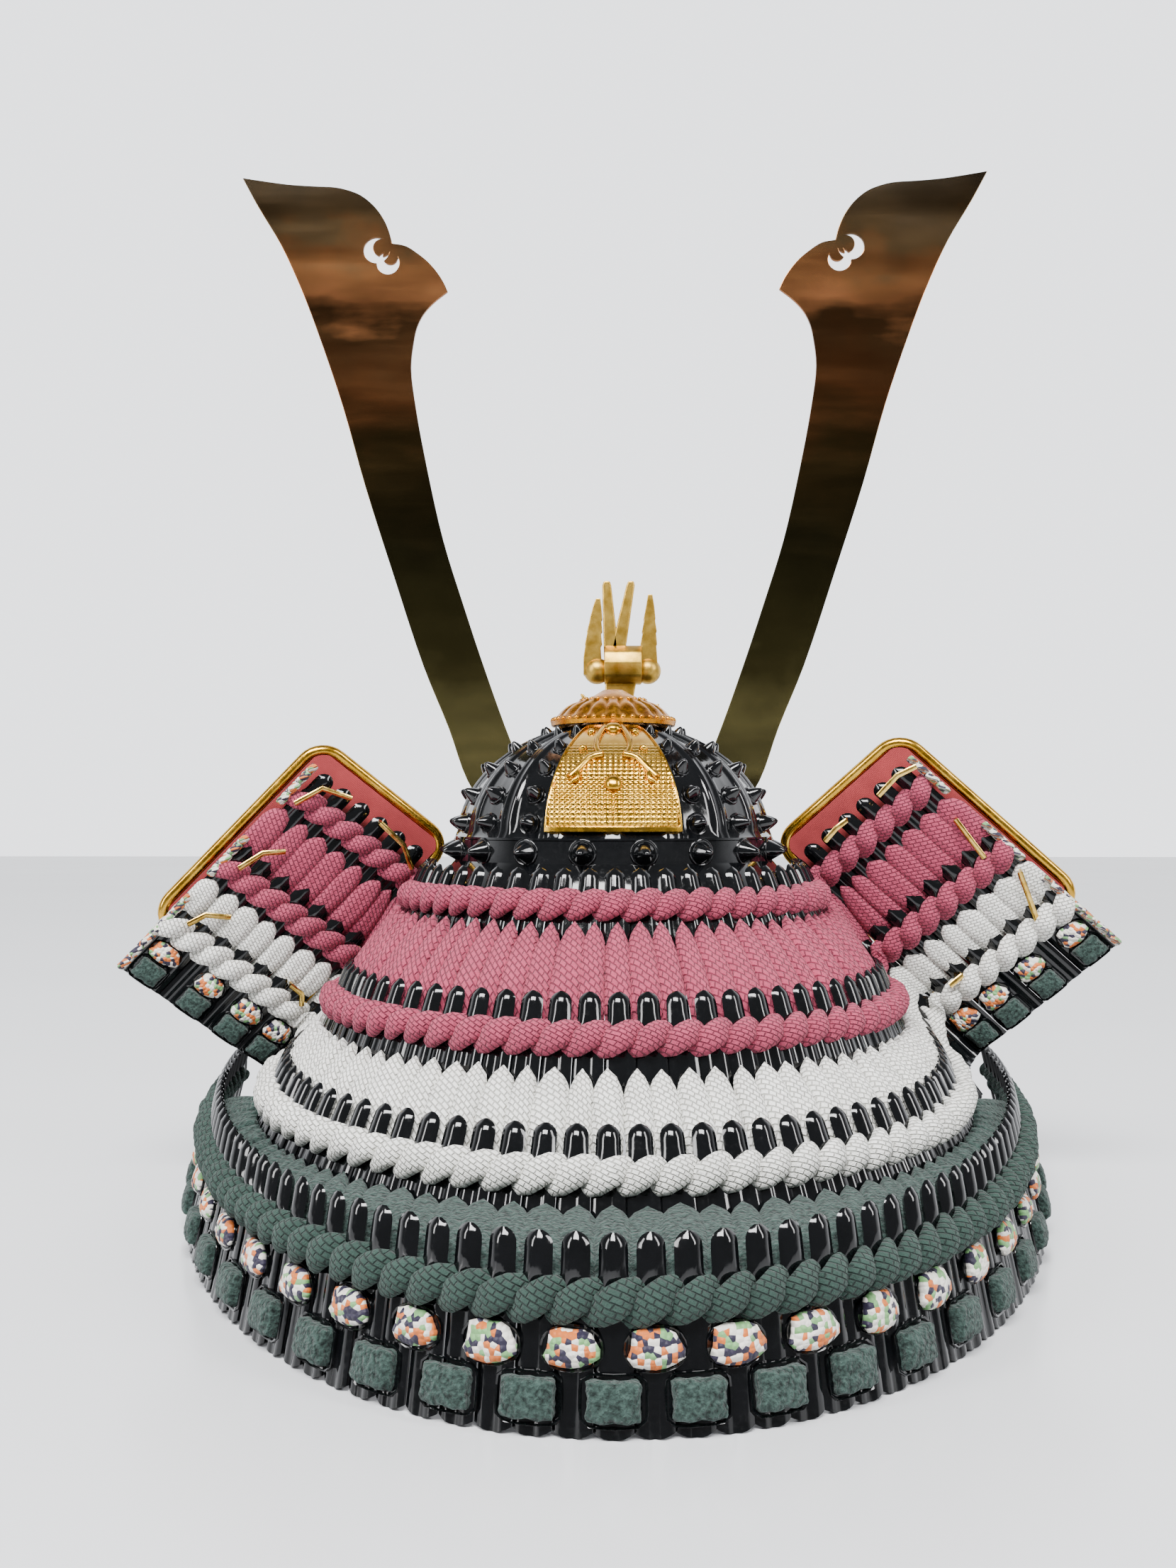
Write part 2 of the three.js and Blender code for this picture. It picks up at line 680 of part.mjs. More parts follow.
// The crown ornament: tiered petal rings over the opening at the top of the bowl.
const crownFoot = bowlPoint(1, plateInset - rearPlateWall - clearance)[1] - clearance * 2;
const crownProfile = [
  [0, 1],
  [0.16, 0.98],
  [0.3, 0.78],
  [0.44, 0.74],
  [0.56, 0.52],
  [0.74, 0.42],
  [0.9, 0.12],
  [1, 0.06],
  [0.98, -0.12],
  [0.86, -0.06],
  [0.5, 0.2],
  [0, 0.3],
].map(([reach, rise]) => [reach * crownRadius, crownFoot + rise * crownRise]);
place("crown_ornament", turned(crownProfile, 20), orangeGold);

// The peak: a slanted brim round the front of the band.
const peakTurn = 58; // degrees to each side of the front
const peakTaper = 0.55; // share of its reach that the peak loses at its ends
const peakTop = seatTop - clearance;
const peakRoot = seatReach(peakTop - peakWall) + clearance;
const peakFall = 0.55; // fall for each length forward
const peakRings = stations(-peakTurn, peakTurn, 14).map((turn) => {
  const angle = (180 + turn) * rad;
  const reach = peakReach * (1 - peakTaper * Math.pow(turn / peakTurn, 4));
  const [across, back] = [Math.sin(angle), Math.cos(angle)];
  const at = (radius, height) => new THREE.Vector3(radius * across, radius * back, height);
  return [
    at(peakRoot, peakTop),
    at(peakRoot + reach, peakTop - reach * peakFall),
    at(peakRoot + reach, peakTop - reach * peakFall - peakWall),
    at(peakRoot, peakTop - peakWall),
  ];
});
place("peak", loft(peakRings), black);

// The crest holder stands on the peak and takes the two blades and the crest.
const holderY = -(peakRoot + holderStand);
const holderFoot = peakTop - (holderStand - holderThickness / 2) * peakFall + clearance;
function flatPiece(outline, thickness, y) {
  const shape = new THREE.Shape(outline.map(([x, z]) => new THREE.Vector2(x, z)));
  const geometry = new THREE.ExtrudeGeometry(shape, { depth: thickness, bevelEnabled: false });
  return geometry.rotateX(Math.PI / 2).translate(0, y + thickness / 2, 0);
}
const holderOutline = [
  [-1, 0.55],
  [-0.85, 0.1],
  [-0.3, 0],
  [0.3, 0],
  [0.85, 0.1],
  [1, 0.55],
  [0.86, 1],
  [0.35, 0.72],
  [0, 0.8],
  [-0.35, 0.72],
  [-0.86, 1],
].map(([x, z]) => [x * holderSpan, holderFoot + z * holderHeight]);
place("crest_holder", flatPiece(holderOutline, holderThickness, holderY), gold);

// The horn blades: one flat outline with a pierced double crescent, mirrored for the other side.
// Columns are shares of bladeSpan across, and of the height from the blade's root to its tip.
const rootShare = 0.74; // of holderHeight, where the blades leave the holder
const bladeRoot = holderFoot + rootShare * holderHeight;
const bladeOutline = [
  { across: 1, up: 1 },
  { across: 0.874, up: 0.989 },
  { across: 0.749, up: 0.984 },
  { across: 0.679, up: 0.971 },
  { across: 0.62, up: 0.936 },
  { across: 0.594, up: 0.895 },
  { across: 0.525, up: 0.879 },
  { across: 0.471, up: 0.848 },
  { across: 0.444, up: 0.819 },
  { across: 0.51, up: 0.783 },
  { across: 0.534, up: 0.744 },
  { across: 0.542, up: 0.7 },
  { across: 0.529, up: 0.638 },
  { across: 0.497, up: 0.54 },
  { across: 0.401, up: 0.333 },
  { across: 0.271, up: 0.118 },
  { across: 0.2, up: 0.022 },
  { across: 0.32, up: 0 },
  { across: 0.388, up: 0.06 },
  { across: 0.438, up: 0.14 },
  { across: 0.506, up: 0.236 },
  { across: 0.59, up: 0.382 },
  { across: 0.665, up: 0.517 },
  { across: 0.725, up: 0.639 },
  { across: 0.787, up: 0.745 },
  { across: 0.835, up: 0.818 },
  { across: 0.894, up: 0.893 },
  { across: 0.957, up: 0.954 },
];
const crescentSides = 16;
// A crescent is a disc less a smaller one set off from it. The offsets are shares of crescentOuter.
const crescents = [
  { across: 0.636, up: 0.884, size: 1, offAcross: -0.41, offUp: 0.2 },
  { across: 0.605, up: 0.864, size: 0.88, offAcross: -0.17, offUp: 0.48 },
];
const bladeY = holderY - holderThickness / 2 - clearance - bladeThickness / 2;

function bladePoint(side, { across, up }) {
  return new THREE.Vector2(side * across * bladeSpan, bladeRoot + up * (bladeHeight - bladeRoot));
}

function bladePlate(side) {
  const shape = new THREE.Shape(bladeOutline.map((corner) => bladePoint(side, corner)));
  const geometry = new THREE.ExtrudeGeometry(shape, { depth: bladeThickness, bevelEnabled: false });
  return solidOf(geometry.rotateX(Math.PI / 2).translate(0, bladeY + bladeThickness / 2, 0));
}

function discAtBlade(centre, radius) {
  const disc = new THREE.CylinderGeometry(radius, radius, bladeThickness * 3, crescentSides);
  return solidOf(disc.translate(centre.x, bladeY, centre.y));
}

function crescentSolid(side, { across, up, size, offAcross, offUp }) {
  const centre = bladePoint(side, { across, up });
  const off = new THREE.Vector2(side * offAcross, offUp).multiplyScalar(crescentOuter);
  const inner = discAtBlade(off.add(centre), crescentInner * size);
  return discAtBlade(centre, crescentOuter * size).subtract(inner);
}

for (const [name, side] of [["left", 1], ["right", -1]]) {
  const pierced = crescents.reduce(
    (solid, crescent) => solid.subtract(crescentSolid(side, crescent)),
    bladePlate(side),
  );
  place("horn_blade_" + name, geometryOf(pierced), brass);
}

// The crest between the blades: a stem, a cross bar and four upright prongs, cast in one.
const crestY = holderY + holderThickness / 2 + clearance + crestThickness / 2;
const crestFoot = peakTop - (-crestY - crestThickness / 2 - peakRoot) * peakFall + clearance;
// Each bar runs from its foot to its tip. All columns are shares of crestHeight.
const crestBars = [
  { across: -0.02, up: 0, width: 0.09, tipAcross: -0.03, tipUp: 0.7, tipWidth: 0.11 },
  { across: 0.006, up: 0.72, width: 0.05, tipAcross: 0.022, tipUp: 1, tipWidth: 0.025 },
  { across: -0.016, up: 0.72, width: 0.05, tipAcross: -0.061, tipUp: 1, tipWidth: 0.022 },
  { across: 0.088, up: 0.7, width: 0.068, tipAcross: 0.057, tipUp: 0.945, tipWidth: 0.018 },
  { across: -0.114, up: 0.7, width: 0.068, tipAcross: -0.125, tipUp: 0.955, tipWidth: 0.02 },
];
const clampAcross = -0.047; // shares of crestHeight
const clampUp = 0.715;

function crestBar({ across, up, width, tipAcross, tipUp, tipWidth }) {
  const outline = [
    [across - width / 2, up],
    [across + width / 2, up],
    [tipAcross + tipWidth / 2, tipUp],
    [tipAcross - tipWidth / 2, tipUp],
  ].map(([x, z]) => [x * crestHeight, crestFoot + z * crestHeight]);
  return solidOf(flatPiece(outline, crestThickness, crestY));
}

const clampX = clampAcross * crestHeight;
const clampZ = crestFoot + clampUp * crestHeight;
const clamp = new THREE.CylinderGeometry(clampRadius, clampRadius, clampLength, 10).rotateZ(Math.PI / 2);
clamp.translate(clampX, crestY, clampZ);
const lobes = [-1, 1].map((side) => {
  const lobe = new THREE.SphereGeometry(lobeRadius, 8, 6);
  return solidOf(lobe.translate(clampX + side * (clampLength / 2 + lobeRadius / 2), crestY, clampZ));
});
place("crest", geometryOf(joinAll(solidOf(clamp), [...lobes, ...crestBars.map(crestBar)])), gold);

// The whole helmet is set with the middle of its box over the origin.
helmet.updateMatrixWorld(true);
const box = new THREE.Box3().setFromObject(helmet);
const middle = box.getCenter(new THREE.Vector3());
helmet.position.set(-middle.x, -middle.y, -box.min.z);

export default helmet;
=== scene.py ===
import math
import random

import bpy
import numpy as np
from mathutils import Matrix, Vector


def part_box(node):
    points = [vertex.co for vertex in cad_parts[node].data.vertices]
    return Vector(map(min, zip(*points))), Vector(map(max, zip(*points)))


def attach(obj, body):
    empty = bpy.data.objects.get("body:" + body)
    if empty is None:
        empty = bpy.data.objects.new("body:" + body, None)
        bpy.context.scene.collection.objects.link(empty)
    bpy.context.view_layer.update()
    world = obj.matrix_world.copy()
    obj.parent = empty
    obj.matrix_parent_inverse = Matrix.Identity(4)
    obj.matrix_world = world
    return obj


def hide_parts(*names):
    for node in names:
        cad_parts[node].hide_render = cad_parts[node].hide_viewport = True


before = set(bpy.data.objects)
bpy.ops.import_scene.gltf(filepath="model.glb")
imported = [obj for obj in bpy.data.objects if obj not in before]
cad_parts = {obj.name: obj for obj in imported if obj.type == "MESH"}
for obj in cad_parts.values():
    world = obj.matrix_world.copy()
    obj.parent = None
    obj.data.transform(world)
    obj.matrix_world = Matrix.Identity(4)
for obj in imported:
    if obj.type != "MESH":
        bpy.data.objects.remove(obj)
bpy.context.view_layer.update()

# The camera stands behind the helmet at the height of the neck guard's upper rows, close enough for the
# strong perspective of the photograph. The bowl's axis, which everything is placed by, is the crown's.
MM = 0.001
crown_low, crown_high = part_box("crown_ornament")
axis = Vector(((crown_low.x + crown_high.x) / 2, (crown_low.y + crown_high.y) / 2, 0))
camera_distance = 389 * MM
camera_height = 110 * MM
camera_pitch = math.radians(1.31)
camera_pan = math.radians(1.11)
photo_height = 2212
focal_pixels = 1838

camera_data = bpy.data.cameras.new("camera")
camera = bpy.data.objects.new("camera", camera_data)
bpy.context.scene.collection.objects.link(camera)
camera.location = axis + Vector((0, camera_distance, camera_height))
camera.rotation_euler = (math.pi / 2 + camera_pitch, 0, math.pi + camera_pan)
camera_data.lens = focal_pixels * camera_data.sensor_width / photo_height
camera_data.clip_start = 0.01
bpy.context.scene.camera = camera

# The four lames of the neck guard are hard moulded plates, each a row of upright scales with a rounded
# head. They are ABS moulded glossy black to look like lacquer, and hang one below the other on the lacing.
pitch = 7 * MM
plate_wall = 1.3 * MM
neck_radius = 55.4 * MM
neck_height = 96 * MM
guard_spread = 94 * MM
flap_reach = 44 * MM
flap_stack = 82 * MM
temple_forward = 0.22
temple_across = 0.985
guard_steps = 7
flap_steps = 3
flap_shares = [0.18, 0.59, 1.09]
lame_table = [
    dict(spread=0, centre=0, width=0, height=1, lift=0, fall=0.146, flare=0.07, turn=93,
         stack=0, foot=0.19, fold=0),
    dict(spread=0.36, centre=0.17, width=0.19, height=0.72, lift=0.01, fall=0.175, flare=0.075, turn=97,
         stack=0.35, foot=0.54, fold=-0.12),
    dict(spread=0.617, centre=0.27, width=0.34, height=0.465, lift=0.05, fall=0.16, flare=0.085, turn=99,
         stack=0.63, foot=0.98, fold=-0.12),
    dict(spread=1, centre=-0.745, width=0.7, height=0.35, lift=0.03, fall=0.35, flare=0.09, turn=83),
]
flap_table = {
    "left": dict(side=1, row_angle=40, stack_angle=48, row_lean=18, stack_lean=10),
    "right": dict(side=-1, row_angle=43, stack_angle=43, row_lean=14, stack_lean=6),
}


def unit_vector(vector):
    return vector / np.linalg.norm(vector)


def flap_frame(name):
    """The flap's corner at the temple, its directions along a row and down the stack, and its back."""
    flap = flap_table[name]
    side = flap["side"]
    row_angle, row_lean = math.radians(flap["row_angle"]), math.radians(flap["row_lean"])
    stack_angle, stack_lean = math.radians(flap["stack_angle"]), math.radians(flap["stack_lean"])
    row = unit_vector(np.array([side * math.cos(row_angle) * math.cos(row_lean), math.sin(row_lean),
                                math.sin(row_angle) * math.cos(row_lean)]))
    stack = unit_vector(np.array([side * math.cos(stack_angle) * math.cos(stack_lean), math.sin(stack_lean),
                                  -math.sin(stack_angle) * math.cos(stack_lean)]))
    origin = np.array(axis) + [side * temple_across * neck_radius, -temple_forward * neck_radius, neck_height]
    back = unit_vector(np.cross(row, stack)) * side
    return origin, row, stack, back


def spline(points, share):
    """A centripetal Catmull-Rom curve through the points, as the CAD's edges are."""
    place = share * (len(points) - 1)
    first = min(int(place), len(points) - 2)
    weight = place - first
    p1, p2 = points[first], points[first + 1]
    p0 = points[first - 1] if first > 0 else 2 * p1 - p2
    p3 = points[first + 2] if first + 2 < len(points) else 2 * p2 - p1
    d0, d1, d2 = (np.linalg.norm(b - a) ** 0.5 for a, b in ((p0, p1), (p1, p2), (p2, p3)))
    start = ((p1 - p0) / d0 - (p2 - p0) / (d0 + d1) + (p2 - p1) / d1) * d1
    end = ((p2 - p1) / d1 - (p3 - p1) / (d1 + d2) + (p3 - p2) / d2) * d1
    c2 = 3 * (p2 - p1) - 2 * start - end
    c3 = 2 * (p1 - p2) + start + end
    return p1 + weight * (start + weight * (c2 + weight * c3))


def lame_edge(lame, name, is_foot):
    """The points of one side of a lame's top or foot, from the middle of the back outwards."""
    side = flap_table[name]["side"]
    centre = lame["centre"] * guard_spread
    flare = lame["flare"] * guard_spread if is_foot else 0
    reach = neck_radius + lame["spread"] * guard_spread - centre + flare
    half_width = neck_radius + lame["width"] * guard_spread + flare
    has_flap = "stack" in lame
    steps = guard_steps if has_flap else guard_steps + flap_steps
    points = []
    for step in range(steps + (0 if has_flap else 1)):
        share = step / steps
        turn = math.radians(share * lame["turn"])
        top = (lame["height"] + lame["lift"] * share * share) * neck_height
        foot = top - lame["fall"] * neck_height if has_flap else 0
        points.append(np.array([axis.x + side * half_width * math.sin(turn),
                                axis.y + centre + reach * math.cos(turn), foot if is_foot else top]))
    if has_flap:
        origin, row, stack, _ = flap_frame(name)
        for share in [lame["fold"]] + flap_shares:
            down = (lame["foot"] if is_foot else lame["stack"]) * flap_stack
            points.append(origin + row * share * flap_reach + stack * down)
    return points


class Surface:
    """A strip between a top and a foot line, such as a lame. at is each sample's place along it, which is
    0 at the middle of the back and grows towards the right flap."""

    def __init__(self, top, foot, at=None, cord_line=1.5 * pitch):
        self.top = top
        fall = foot - top
        self.length = np.linalg.norm(fall, axis=1)
        self.fall = fall / self.length[:, None]
        normal = np.cross(self.fall, np.gradient(top + foot, axis=0))
        self.normal = normal / np.linalg.norm(normal, axis=1)[:, None]
        if at is None:
            line = top + self.fall * cord_line
            steps = np.linalg.norm(np.diff(line, axis=0), axis=1)
            at = np.concatenate([[0], np.cumsum(steps)])
            at = at - at[len(at) // 2]
        self.at = at

    def point(self, place, down, out):
        """The points at each place along, down from the top line and out from the strip, above the floor."""
        parts = []
        for values in (self.top, self.fall, self.normal):
            parts.append(np.stack([np.interp(place, self.at, values[:, k]) for k in range(3)], axis=1))
        points = parts[0] + parts[1] * down[:, None] + parts[2] * out[:, None]
        points[:, 2] = np.maximum(points[:, 2], 0)
        return points

    def plate(self, place):
        """How far it is from the top line to the foot line at each place."""
        return np.interp(place, self.at, self.length)


samples = 600
edge_shares = np.linspace(-1, 1, 2 * samples + 1)
lame_edges = []
for lame in lame_table:
    edges = {name: [lame_edge(lame, name, is_foot) for is_foot in (False, True)] for name in flap_table}
    lines = []
    for is_foot in (0, 1):
        lines.append(np.array([spline(edges["left" if share < 0 else "right"][is_foot], abs(share))
                               for share in edge_shares]))
    lame_edges.append(lines)
lames = [Surface(top, foot) for top, foot in lame_edges]


def deselect_all():
    if bpy.context.object and bpy.context.object.mode != "OBJECT":
        bpy.ops.object.mode_set(mode="OBJECT")
    bpy.ops.object.select_all(action="DESELECT")


def select(piece):
    deselect_all()
    bpy.context.view_layer.objects.active = piece
    piece.select_set(True)


def smooth(piece, degrees):
    """Shades a piece smooth across the edges that turn by less than this."""
    select(piece)
    bpy.ops.object.shade_smooth_by_angle(angle=math.radians(degrees))


def apply_modifier(piece, kind, **settings):
    modifier = piece.modifiers.new(kind.lower(), kind)
    for key, value in settings.items():
        setattr(modifier, key, value)
    select(piece)
    bpy.ops.object.modifier_apply(modifier=modifier.name)


def recalculate(piece, merge=1e-6):
    """Merges doubles and turns every face outwards."""
    select(piece)
    bpy.ops.object.mode_set(mode="EDIT")
    bpy.ops.mesh.select_all(action="SELECT")
    bpy.ops.mesh.remove_doubles(threshold=merge)
    bpy.ops.mesh.normals_make_consistent(inside=False)
    bpy.ops.object.mode_set(mode="OBJECT")


def grid_unit(name, columns, rows, shape, wall=0.0):
    """A grid whose points shape(u, v) gives, u from -1 to 1 across and v from 0 at the top to 1."""
    deselect_all()
    bpy.ops.mesh.primitive_grid_add(x_subdivisions=columns, y_subdivisions=rows, size=2)
    piece = bpy.context.object
    piece.name = name
    for vertex in piece.data.vertices:
        vertex.co = shape(vertex.co.x, (1 - vertex.co.y) / 2)
    if wall:
        apply_modifier(piece, "SOLIDIFY", thickness=wall, offset=-1)
    return piece


def unit_arrays(unit):
    """A unit's points and faces, and the unit itself is removed."""
    count = len(unit.data.vertices)
    points = np.empty(count * 3)
    unit.data.vertices.foreach_get("co", points)
    faces = [tuple(face.vertices) for face in unit.data.polygons]
    bpy.data.objects.remove(unit)
    return points.reshape(count, 3), faces


def new_piece(name, points, faces, weave=None):
    """A mesh object from arrays. weave holds each point's place on the cloth or cord, in millimetres."""
    mesh = bpy.data.meshes.new(name)
    mesh.from_pydata(points.tolist(), [], faces)
    if weave is not None:
        layer = mesh.uv_layers.new(name="weave")
        corners = np.empty(len(mesh.loops), dtype=np.int32)
        mesh.loops.foreach_get("vertex_index", corners)
        layer.data.foreach_set("uv", weave[corners].astype(np.float32).ravel())
    mesh.validate()
    mesh.update()
    piece = bpy.data.objects.new(name, mesh)
    bpy.context.scene.collection.objects.link(piece)
    smooth(piece, 50)
    return piece


def lay(name, unit, surface, places, down_of, weave_scale=(1000, 1000)):
    """Copies a unit to each place of a surface and joins them. A unit's x runs along, y up and z outwards."""
    shape, faces = unit_arrays(unit)
    points, all_faces, weave = [], [], []
    for i, place in enumerate(places):
        wide, tall, thick = place.get("wide", 1), place.get("tall", 1), place.get("thick", 1)
        along = place["at"] + shape[:, 0] * wide
        down = down_of(along, -shape[:, 1] * tall) + place.get("down", 0)
        points.append(surface.point(along, down, shape[:, 2] * thick + place.get("out", 0)))
        shift = len(shape) * i
        all_faces += [tuple(corner + shift for corner in face) for face in faces]
        weave.append(shape[:, :2] * weave_scale + [i * 3.7, i * 2.3])
    return new_piece(name, np.concatenate(points), all_faces, np.concatenate(weave))


head_half = 0.39 * pitch
head_length = 1.1 * pitch
head_bulge = 1.3 * MM
scale_downs = [0, 0.03, 0.1, 0.22, 0.4, 0.75, 1.1, 1.25, 1.7, 2.2]


def scale_shape_for(length):
    """A scale: a rounded tongue at the top, wider below the cord row, raised along its middle."""
    def shape(u, v):
        downs = [min(d, 0.97 * length / pitch) * pitch for d in scale_downs] + [length]
        down = float(np.interp(v, np.linspace(0, 1, len(downs)), downs))
        if down < head_half:
            half = head_half * math.sqrt(max(0.06, 1 - (1 - down / head_half) ** 2))
        else:
            widening = min(1, max(0, (down - head_length) / (0.2 * pitch)))
            half = head_half + (0.5 * pitch - head_half) * widening
        is_plate = min(1, max(0, (down - head_length) / (0.3 * pitch)))
        head = head_bulge * (1 - u * u) * min(1, 0.3 + down / head_half)
        ridge = 0.6 * MM * (1 - abs(abs(u) * 2 - 1) ** 1.5) + 0.35 * MM * u
        scallop = 0.16 * pitch * u * u * max(0, v - 0.8) / 0.2
        return Vector((u * half, scallop - down, head * (1 - is_plate) + ridge * is_plate))
    return shape


def scale_places(surface):
    count = int((surface.at[-1] - surface.at[0]) / pitch)
    spare = (surface.at[-1] - surface.at[0]) - count * pitch
    return [surface.at[0] + spare / 2 + pitch * (i + 0.5) for i in range(count)]


def rgb(value):
    """An sRGB hex colour as linear red, green, blue and alpha."""
    channels = [int(value[i:i + 2], 16) / 255 for i in (1, 3, 5)]
    return [c / 12.92 if c <= 0.04045 else ((c + 0.055) / 1.055) ** 2.4 for c in channels] + [1]


def set_inputs(node, inputs):
    """Gives sockets their values. A node stands for its first output, and an output is linked."""
    for socket, value in inputs:
        if isinstance(value, bpy.types.Node):
            value = value.outputs[0]
        if isinstance(value, bpy.types.NodeSocket):
            node.id_data.links.new(value, node.inputs[socket])
        else:
            node.inputs[socket].default_value = value


def add_node(material, kind, inputs=(), stops=(), **settings):
    """Adds a node with its own settings, its inputs as pairs of socket and value, and a ramp's stops."""
    node = material.node_tree.nodes.new(kind)
    for key, value in settings.items():
        setattr(node, key, value)
    set_inputs(node, inputs)
    for i, (position, colour) in enumerate(stops):
        element = node.color_ramp.elements[i] if i < 2 else node.color_ramp.elements.new(position)
        element.position = position
        element.color = rgb(colour) if isinstance(colour, str) else (colour, colour, colour, 1)
    return node


def new_material(name):
    """A new material, its shader, and the place on the object that patterns are drawn from."""
    material = bpy.data.materials.new(name)
    material.use_nodes = True
    place = add_node(material, "ShaderNodeTexCoord").outputs["Object"]
    return material, material.node_tree.nodes["Principled BSDF"], place


# Moulded glossy ABS, coloured black right through: a near-mirror gloss, softened by fine dust and handling
# marks that show as slow changes of roughness, over slight waves left by the mould.
black_abs, shader, place = new_material("moulded_black_abs")
waves = add_node(black_abs, "ShaderNodeTexNoise", [("Vector", place), ("Scale", 1 / (9 * MM))])
dust = add_node(black_abs, "ShaderNodeTexNoise", [
    ("Vector", place), ("Scale", 1 / (1.2 * MM)), ("Detail", 4)])
set_inputs(shader, [
    ("Base Color", add_node(black_abs, "ShaderNodeValToRGB", [("Fac", waves)],
                            [(0.3, "#050607"), (0.7, "#0a0b0d")])),
    ("Roughness", add_node(black_abs, "ShaderNodeValToRGB", [("Fac", dust)], [(0.5, 0.07), (0.8, 0.2)])),
    ("IOR", 1.54),
    ("Normal", add_node(black_abs, "ShaderNodeBump", [("Height", waves), ("Distance", 0.05 * MM)])),
])


def finish(piece, material, slot, replaces=(), recalculated=True):
    """Gives a piece its material and its body, and hides the nodes it stands for. slot is not used."""
    if recalculated:
        recalculate(piece)
    piece.data.materials.clear()
    piece.data.materials.append(material)
    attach(piece, "root")
    if replaces:
        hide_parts(*replaces)
    return piece


plate_hem = 0.9 * pitch
fold_share = (guard_steps - 0.5) / (guard_steps + flap_steps)
for i, surface in enumerate(lames):
    nominal = float(surface.plate(0.0))
    fold_at = np.interp((-fold_share, fold_share), edge_shares, surface.at) if i == 2 else surface.at[[0, -1]]

    def plate_down(along, down, nominal=nominal, surface=surface, fold_at=fold_at):
        """Stretches what lies below the head to the plate's length there, and adds the hem, if it has one."""
        below = np.clip(down - head_length, 0, None) / (nominal - head_length)
        placed = np.minimum(down, head_length) + below * (surface.plate(along) - head_length)
        hem = np.where((along > fold_at[0]) & (along < fold_at[1]), plate_hem, 0)
        return np.minimum(placed, surface.plate(along) + hem)

    scale = grid_unit("scale", 8, 12, scale_shape_for(nominal + (plate_hem if i < 3 else 0)), plate_wall)
    places = [dict(at=at) for at in scale_places(surface)]
    scales = lay(f"lame_{i + 1}_scales", scale, surface, places, plate_down)
    finish(scales, black_abs, "black_lacquer", [f"lame_{i + 1}"])

# The twisted cord rows are soft braided cotton, about 7 mm across, laid in a rope of slanting turns on each
# lame below the scale heads, one turn to a scale, and pressed flat where the lame folds at the temple.
cord_table = [
    dict(name="pink_cord_row_1", cord="pink", start=0.95, end=2.0),
    dict(name="pink_cord_row_2", cord="pink", start=1.0, end=2.15),
    dict(name="white_cord_row_3", cord="white", start=1.0, end=2.1),
    dict(name="green_cord_row_4", cord="green", start=1.1, end=2.3),
]
strand_reach = 0.95 * pitch
strand_wind = 0.23 * pitch
strand_half = 0.42 * pitch
strand_flatness = 0.78


def cord_material(name, dark, light, stitch_mm):
    """Braided cotton or wool yarn: crossing stitches that catch the light, a fuzzy sheen and a soft bump.
    The real stitches are about 0.65 mm, too fine to show, so they are drawn about 1 mm wide."""
    material, shader, place = new_material(name)
    weave = add_node(material, "ShaderNodeUVMap", uv_map="weave")
    slanted = add_node(material, "ShaderNodeMapping", [
        ("Vector", weave), ("Rotation", (0, 0, math.radians(28)))])
    stitches = add_node(material, "ShaderNodeTexBrick", [
        ("Vector", slanted), ("Scale", 1.0), ("Brick Width", stitch_mm * 1.7), ("Row Height", stitch_mm),
        ("Mortar Size", stitch_mm * 0.2), ("Mortar Smooth", 1.0), ("Color1", (0.75, 0.75, 0.75, 1)),
        ("Color2", (1, 1, 1, 1)), ("Mortar", (0.1, 0.1, 0.1, 1))])
    fuzz = add_node(material, "ShaderNodeTexNoise", [
        ("Vector", place), ("Scale", 1 / (0.35 * MM)), ("Detail", 3)])
    height = add_node(material, "ShaderNodeMix", [(0, 0.4), (2, stitches), (3, fuzz)], data_type="FLOAT")
    yarn = add_node(material, "ShaderNodeValToRGB", [("Fac", height)], [(0.1, dark), (0.75, light)])
    handling = add_node(material, "ShaderNodeTexNoise", [("Vector", place), ("Scale", 1 / (6 * MM))])
    shade = add_node(material, "ShaderNodeValToRGB", [("Fac", handling)], [(0.3, 0.86), (0.7, 1.0)])
    colour = add_node(material, "ShaderNodeMix", [(0, 1.0), (6, yarn), (7, shade)],
                      data_type="RGBA", blend_type="MULTIPLY").outputs[2]
    set_inputs(shader, [
        ("Base Color", colour), ("Roughness", 0.95), ("Specular IOR Level", 0.25), ("Sheen Weight", 0.08),
        ("Sheen Roughness", 0.5),
        ("Normal", add_node(material, "ShaderNodeBump", [("Height", height), ("Distance", 0.8 * MM)]))])
    return material


def fuzzy_wool():
    """Brushed wool: no stitches show, only tufts and a soft nap."""
    material, shader, place = new_material("brushed_green_wool")
    tufts = add_node(material, "ShaderNodeTexNoise", [
        ("Vector", place), ("Scale", 1 / (0.9 * MM)), ("Detail", 4)])
    set_inputs(shader, [
        ("Base Color", add_node(material, "ShaderNodeValToRGB", [("Fac", tufts)],
                                [(0.3, "#0e1715"), (0.7, "#40544e")])),
        ("Roughness", 1.0), ("Specular IOR Level", 0.2), ("Sheen Weight", 0.12),
        ("Normal", add_node(material, "ShaderNodeBump", [("Height", tufts), ("Distance", 1.2 * MM)]))])
    return material


cord_finish = {
    "pink": (cord_material("braided_pink_cotton", "#5a1428", "#b04861", 1.0), "pink_cord"),
    "white": (cord_material("braided_white_cotton", "#a3a298", "#f7f6f1", 1.0), "white_cord"),
    "green": (cord_material("braided_green_wool", "#0c1412", "#32463f", 1.1), "green_cord"),
    "fuzzy_green": (fuzzy_wool(), "green_cord"),
}


